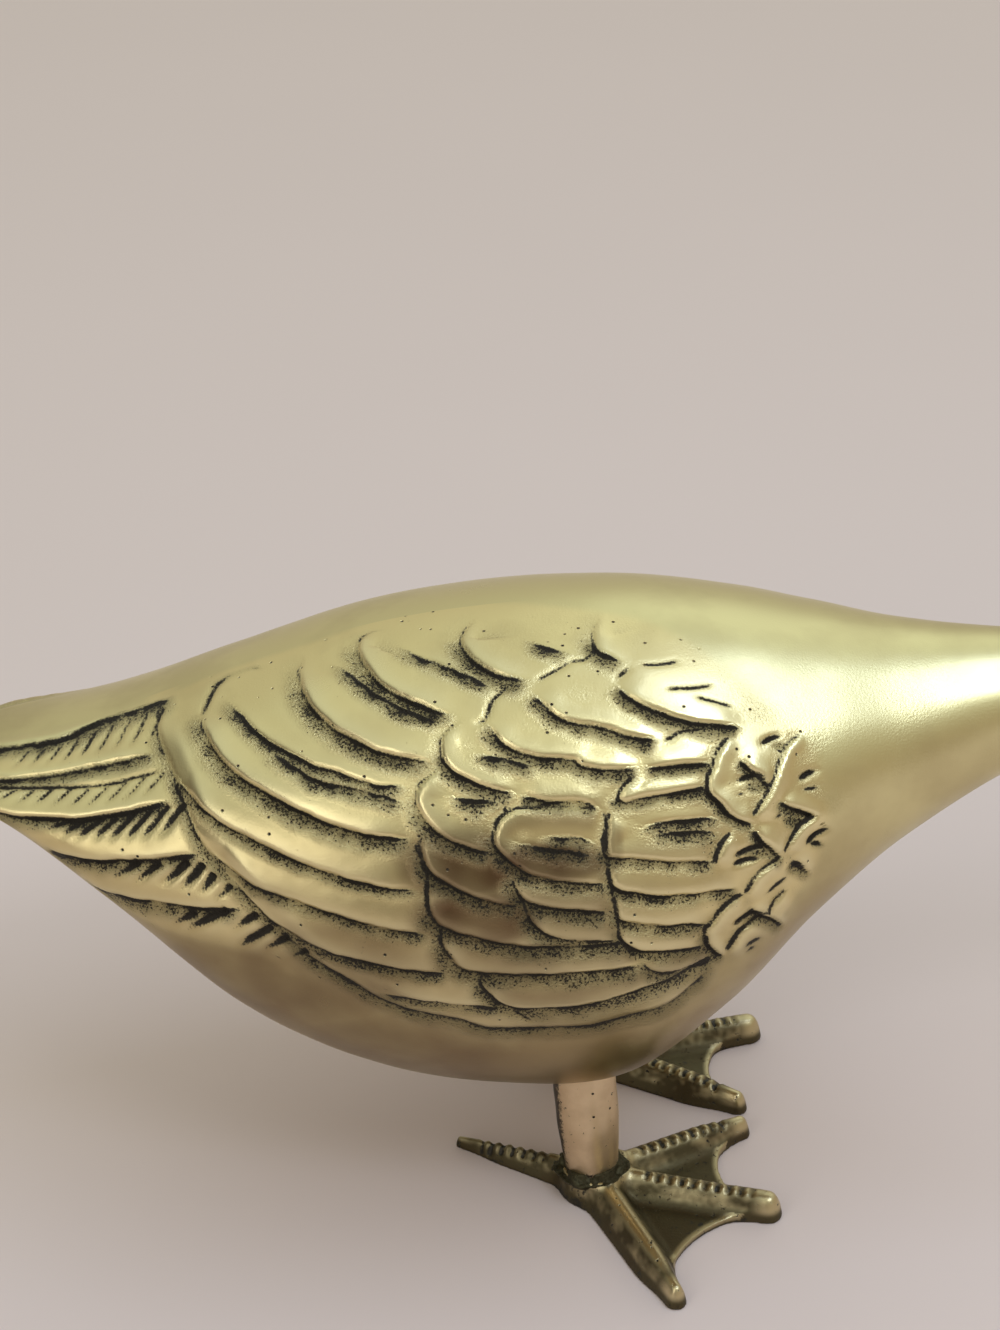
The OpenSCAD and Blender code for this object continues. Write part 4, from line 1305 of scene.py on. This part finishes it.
def toeField(x, y, z, end, endHalf, endHeight, point):
    # distance to a ridge with a round back and a tapered end, the ribs on its crest, and where its tip is
    whole = np.linalg.norm(end)
    ahead = end / whole
    run = x * ahead[0] + y * ahead[1]
    across = y * ahead[0] - x * ahead[1]
    reach = whole + endHalf * (1 - point)
    t = np.clip(run / reach, 0, 1)
    tip = ease((run - reach + foot["taperRun"]) / foot["taperRun"])
    half = mix(foot["rootHalf"], endHalf, np.sqrt(t)) * mix(1, point, tip)
    tall = mix(foot["hubHeight"], endHeight, t) * mix(1, 0.5 + 0.5 * point, tip)
    off = np.hypot(across, run - t * reach) / half
    power = mix(2, 1 + 3 * point, ease((run - whole + foot["bluntRun"]) / foot["bluntRun"]))
    top = tall * (1 - off ** power)
    slope = power * tall / half * np.minimum(off, 1) ** (power - 1)
    wave = 0.5 - 0.5 * np.cos(2 * math.pi * (run - foot["ribStart"]) / foot["ribPitch"])
    start = ease((run - foot["ribStart"]) / foot["ribFade"])
    stop = ease((whole + endHalf - foot["ribLeave"] - run) / foot["ribFade"])
    crest = ease((foot["ribHalf"] - np.abs(across)) / foot["ribSoft"])
    rib = wave * (start * stop) * crest
    tipShare = ease((run - whole + foot["tipBack"]) / foot["tipRun"])
    return (z - top) / np.sqrt(1 + slope ** 2), rib, tipShare


def webField(x, y, z, a, b):
    # a thin plate between two toes, with a scooped front edge, and the distance over that edge
    middle = (a + b) / 2
    front = np.linalg.norm(middle) - foot["scoop"]
    half = np.linalg.norm(b - a) / 2
    radius = (half ** 2 + foot["scoop"] ** 2) / (2 * foot["scoop"])
    ahead = middle / np.linalg.norm(middle)
    centre = ahead * (front + radius)
    edge = radius - np.hypot(x - centre[0], y - centre[1])
    sideA = (x * a[1] - y * a[0]) / np.linalg.norm(a)
    sideB = (y * b[0] - x * b[1]) / np.linalg.norm(b)
    run = x * ahead[0] + y * ahead[1]
    web = np.maximum.reduce([z - foot["web"], edge, sideA, sideB, -run, run - np.linalg.norm(middle)])
    return web, edge


def skinOfField(field, low, step):
    # one point in each cell that the surface crosses, and one quad for each crossed grid edge
    shape = np.array(field.shape)
    inside = field < 0
    cells = tuple(shape - 1)
    total = np.zeros((*cells, 3))
    count = np.zeros(cells)
    corners = [(a, b, c) for a in (0, 1) for b in (0, 1) for c in (0, 1)]

    def corner(grid3, c):
        return grid3[c[0]:c[0] + cells[0], c[1]:c[1] + cells[1], c[2]:c[2] + cells[2]]

    for axis in range(3):
        for c in corners:
            if c[axis]:
                continue
            d = tuple(1 if k == axis else c[k] for k in range(3))
            fa, fb = corner(field, c), corner(field, d)
            cross = corner(inside, c) != corner(inside, d)
            share = np.where(cross, fa / np.where(cross, fa - fb, 1), 0)
            for k in range(3):
                total[..., k] += cross * (c[k] + (share if k == axis else 0))
            count += cross
    number = np.full(cells, -1)
    active = count > 0
    number[active] = np.arange(active.sum())
    base = np.stack(np.nonzero(active), -1)
    points = np.array(low) + step * (base + total[active] / count[active][:, None])
    faces = []
    for axis in range(3):
        one, two = (axis + 1) % 3, (axis + 2) % 3
        begin = [slice(1, n - 1) for n in shape]
        begin[axis] = slice(0, shape[axis] - 1)
        ahead = list(begin)
        ahead[axis] = slice(1, shape[axis])
        a, b = inside[tuple(begin)], inside[tuple(ahead)]
        for outgoing in (True, False):
            hit = (a & ~b) if outgoing else (~a & b)
            where = np.stack(np.nonzero(hit), -1)
            where[:, one] += 1
            where[:, two] += 1
            ring = []
            for back1, back2 in ((1, 1), (0, 1), (0, 0), (1, 0)):
                cell = where.copy()
                cell[:, one] -= back1
                cell[:, two] -= back2
                ring.append(number[tuple(cell.T)])
            quads = np.stack(ring if outgoing else ring[::-1], -1)
            faces += quads.tolist()
    return points, faces


def footField(x, y, z, ends):
    field = np.hypot(x, y) - foot["hubRadius"] + foot["hubSlope"] * z
    field = np.maximum(field, z - foot["hubHeight"])
    ribs, tips, rims = (np.zeros(x.shape) for k in range(3))
    for name, end in ends.items():
        kind = "hind" if name == "hind" else "end"
        toe, rib, tip = toeField(x, y, z, end, foot[kind + "Half"], foot[kind + "Height"],
                                 foot["points"][name])
        near = toe < footWear["toeReach"]
        if name in foot["ribbed"]:
            toe = toe + foot["ribDepth"] * rib
            ribs = np.where(near, np.maximum(ribs, rib), ribs)
        tips = np.where(near, np.maximum(tips, tip), tips)
        field = smoothMin(field, toe, foot["blend"])
    for a, b in (("middle", "outer"), ("inner", "middle")):
        web, edge = webField(x, y, z, ends[a], ends[b])
        rim = ease((footWear["rimWidth"] + edge) / footWear["rimFade"])
        rims = np.where(web < footWear["webReach"], np.maximum(rims, rim), rims)
        field = smoothMin(field, web, foot["blend"])
    return np.maximum(field, -z), ribs, tips, rims


def wearOf(points, ribs, tips, rims):
    # how far each point of a foot is rubbed bright, and how dark it is
    wear = footWear
    height = points[:, 2]
    tip, crest, side, rim = (ease((height - wear[key + "From"]) / wear[key + "Run"])
                             for key in ("tip", "crest", "side", "rim"))
    lumps = softLumps(points, wear["lumpSize"], 3.3)
    lumps = lumps + wear["fine"] * softLumps(points, wear["fineSize"], 5.1)
    worn = np.clip(np.maximum(wear["tip"] * tips * tip, crest * (1 - ribs) * wear["crest"]), 0, 1)
    # the toes' sides are rubbed in patches, and so are the webs' front edges
    patches = np.clip(wear["side"] + wear["sidePatches"] * lumps, 0, wear["sideMost"])
    rims = rims * rim
    worn = np.maximum.reduce([worn, side * patches, wear["rim"] * rims])
    hub = np.clip(wear["hubReach"] - np.hypot(points[:, 0], points[:, 1]) / wear["hubRun"], 0, 1)
    # painted shade: darker low down, near the floor and in the webs
    low = ease((wear["lowTo"] - height) / wear["lowRun"])
    dark = (wear["ribDark"] * ribs + wear["hubDark"] * hub + wear["lowDark"] * low
            + wear["lumpDark"] * lumps)
    dark = np.clip(dark, 0, 1) * (1 - wear["rubbedClean"] * np.maximum(tips, rims))
    return {"rub": worn, "recess": dark}


def makeFoot(name, side):
    ends = toeEnds(name)
    reach = np.array(list(ends.values()))
    room = foot["endRadius"] + foot["room"]
    low = np.array([*(reach.min(0) - room), -2 * foot["step"]])
    high = np.array([*(reach.max(0) + room), foot["hubHeight"] + foot["room"]])
    axes = [np.arange(a, b, foot["step"]) for a, b in zip(low, high)]
    x, y, z = np.meshgrid(*axes, indexing="ij")
    field = footField(x, y, z, ends)[0]
    points, faces = skinOfField(field, low, foot["step"])
    points[:, 2] = np.maximum(points[:, 2], 0)
    values = wearOf(points, *footField(*points.T, ends)[1:])
    moved = points * np.array([1, side, 1]) + np.array([legX, side * legY, 0])
    turned = faces if side > 0 else [f[::-1] for f in faces]
    addPiece(name + "Foot", moved, turned, footBrass, name + "_foot", values)
    print(name, "foot made,", len(faces), "faces")


for name, side in sides.items():
    makeFoot(name, side)

# the pieces inside the casting keep the solids' shapes
insideFinish = {"seam_braze": brazeMetal, "right_leg_stud": studSteel, "left_leg_stud": studSteel,
                "right_leg_bush": bushBrass, "left_leg_bush": bushBrass}
for name, material in insideFinish.items():
    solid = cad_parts[name]
    solid.data.materials.clear()
    solid.data.materials.append(material)
print("inner pieces finished")

# Floor and light
stage = {
    "floorSize": 8.0,
    "floorColor": (0.78, 0.66, 0.635),
    "floorShade": 0.97,  # soft clouds in the floor go down to this share of its colour
    "floorCloud": 6.0, "floorRoughness": 0.9, "floorGloss": 0.2,
    "skyTop": (0.95, 1.0, 0.88),
    "skyLow": (0.63, 0.535, 0.42),
    "skyLeft": (0.15, 0.13, 0.105),   # towards the tail, near the ground
    "skyBack": (0.74, 0.69, 0.57),    # behind the goose
    "skyStrength": 0.715,
    # directions between which one colour turns into the next
    "leftRun": (-0.7, 0.5), "backRun": (0.2, 0.9), "topRun": (0.1, 0.95),
    # lamps: place, aim, width and height in metres, power in watts, colour
    "lamps": {
        "keyLamp": ((0.43, -0.22, 1.05), (0.0, -0.36, 0.09), (1.0, 0.24), 2.1, (0.80, 1.0, 1.45)),
        "backLamp": ((0.37, 1.08, 1.05), (0.0, 0.0, 0.10), (0.8, 0.8), 0.8, (0.85, 1.0, 1.0)),
        "frontLamp": ((0.32, -0.62, 1.0), (0.05, -0.03, 0.10), (0.35, 0.3), 1.5, (0.90, 1.0, 1.1)),
        "fillLamp": ((-0.70, -0.90, 0.50), (-0.04, 0.0, 0.09), (0.45, 0.8), 1.85, (1.0, 0.97, 0.92)),
    },
}


def makeFloor():
    material, tree, shader = newMaterial("paleFloor")
    shaded = tuple(c * stage["floorShade"] for c in stage["floorColor"])
    cloud = cloudy(tree, stage["floorCloud"], 3.0)
    put(tree, shader.inputs["Base Color"], mixed(tree, cloud, shaded, stage["floorColor"]))
    shader.inputs["Roughness"].default_value = stage["floorRoughness"]
    shader.inputs["Specular IOR Level"].default_value = stage["floorGloss"]
    half = stage["floorSize"] / 2
    corners = [(-half, -half, 0), (half, -half, 0), (half, half, 0), (-half, half, 0)]
    mesh = bpy.data.meshes.new("floor")
    mesh.from_pydata(corners, [], [(0, 1, 2, 3)])
    mesh.materials.append(material)
    floor = bpy.data.objects.new("floor", mesh)
    bpy.context.scene.collection.objects.link(floor)


def makeSky():
    world = bpy.data.worlds.new("softStudio")
    bpy.context.scene.world = world
    world.use_nodes = True
    tree = world.node_tree
    tree.nodes.clear()
    way = node(tree, "ShaderNodeTexCoord").outputs["Generated"]
    parts = node(tree, "ShaderNodeSeparateXYZ", {"Vector": way}).outputs
    front = mixed(tree, ranged(tree, parts["X"], *stage["leftRun"]), stage["skyLeft"], stage["skyLow"])
    low = mixed(tree, ranged(tree, parts["Y"], *stage["backRun"]), front, stage["skyBack"])
    color = mixed(tree, ranged(tree, parts["Z"], *stage["topRun"]), low, stage["skyTop"])
    sky = node(tree, "ShaderNodeBackground", {"Color": color, "Strength": stage["skyStrength"]})
    out = tree.nodes.new("ShaderNodeOutputWorld")
    tree.links.new(sky.outputs[0], out.inputs["Surface"])


def makeLamps():
    for name, (place, aim, size, power, color) in stage["lamps"].items():
        data = bpy.data.lights.new(name, "AREA")
        data.shape = "RECTANGLE"
        data.size, data.size_y = size
        data.energy = power
        data.color = color
        lamp = bpy.data.objects.new(name, data)
        lamp.location = place
        lamp.rotation_euler = (Vector(aim) - Vector(place)).to_track_quat("-Z", "Y").to_euler()
        bpy.context.scene.collection.objects.link(lamp)


makeFloor()
makeSky()
makeLamps()
bpy.context.scene.view_settings.view_transform = "Standard"
print("floor and light made")
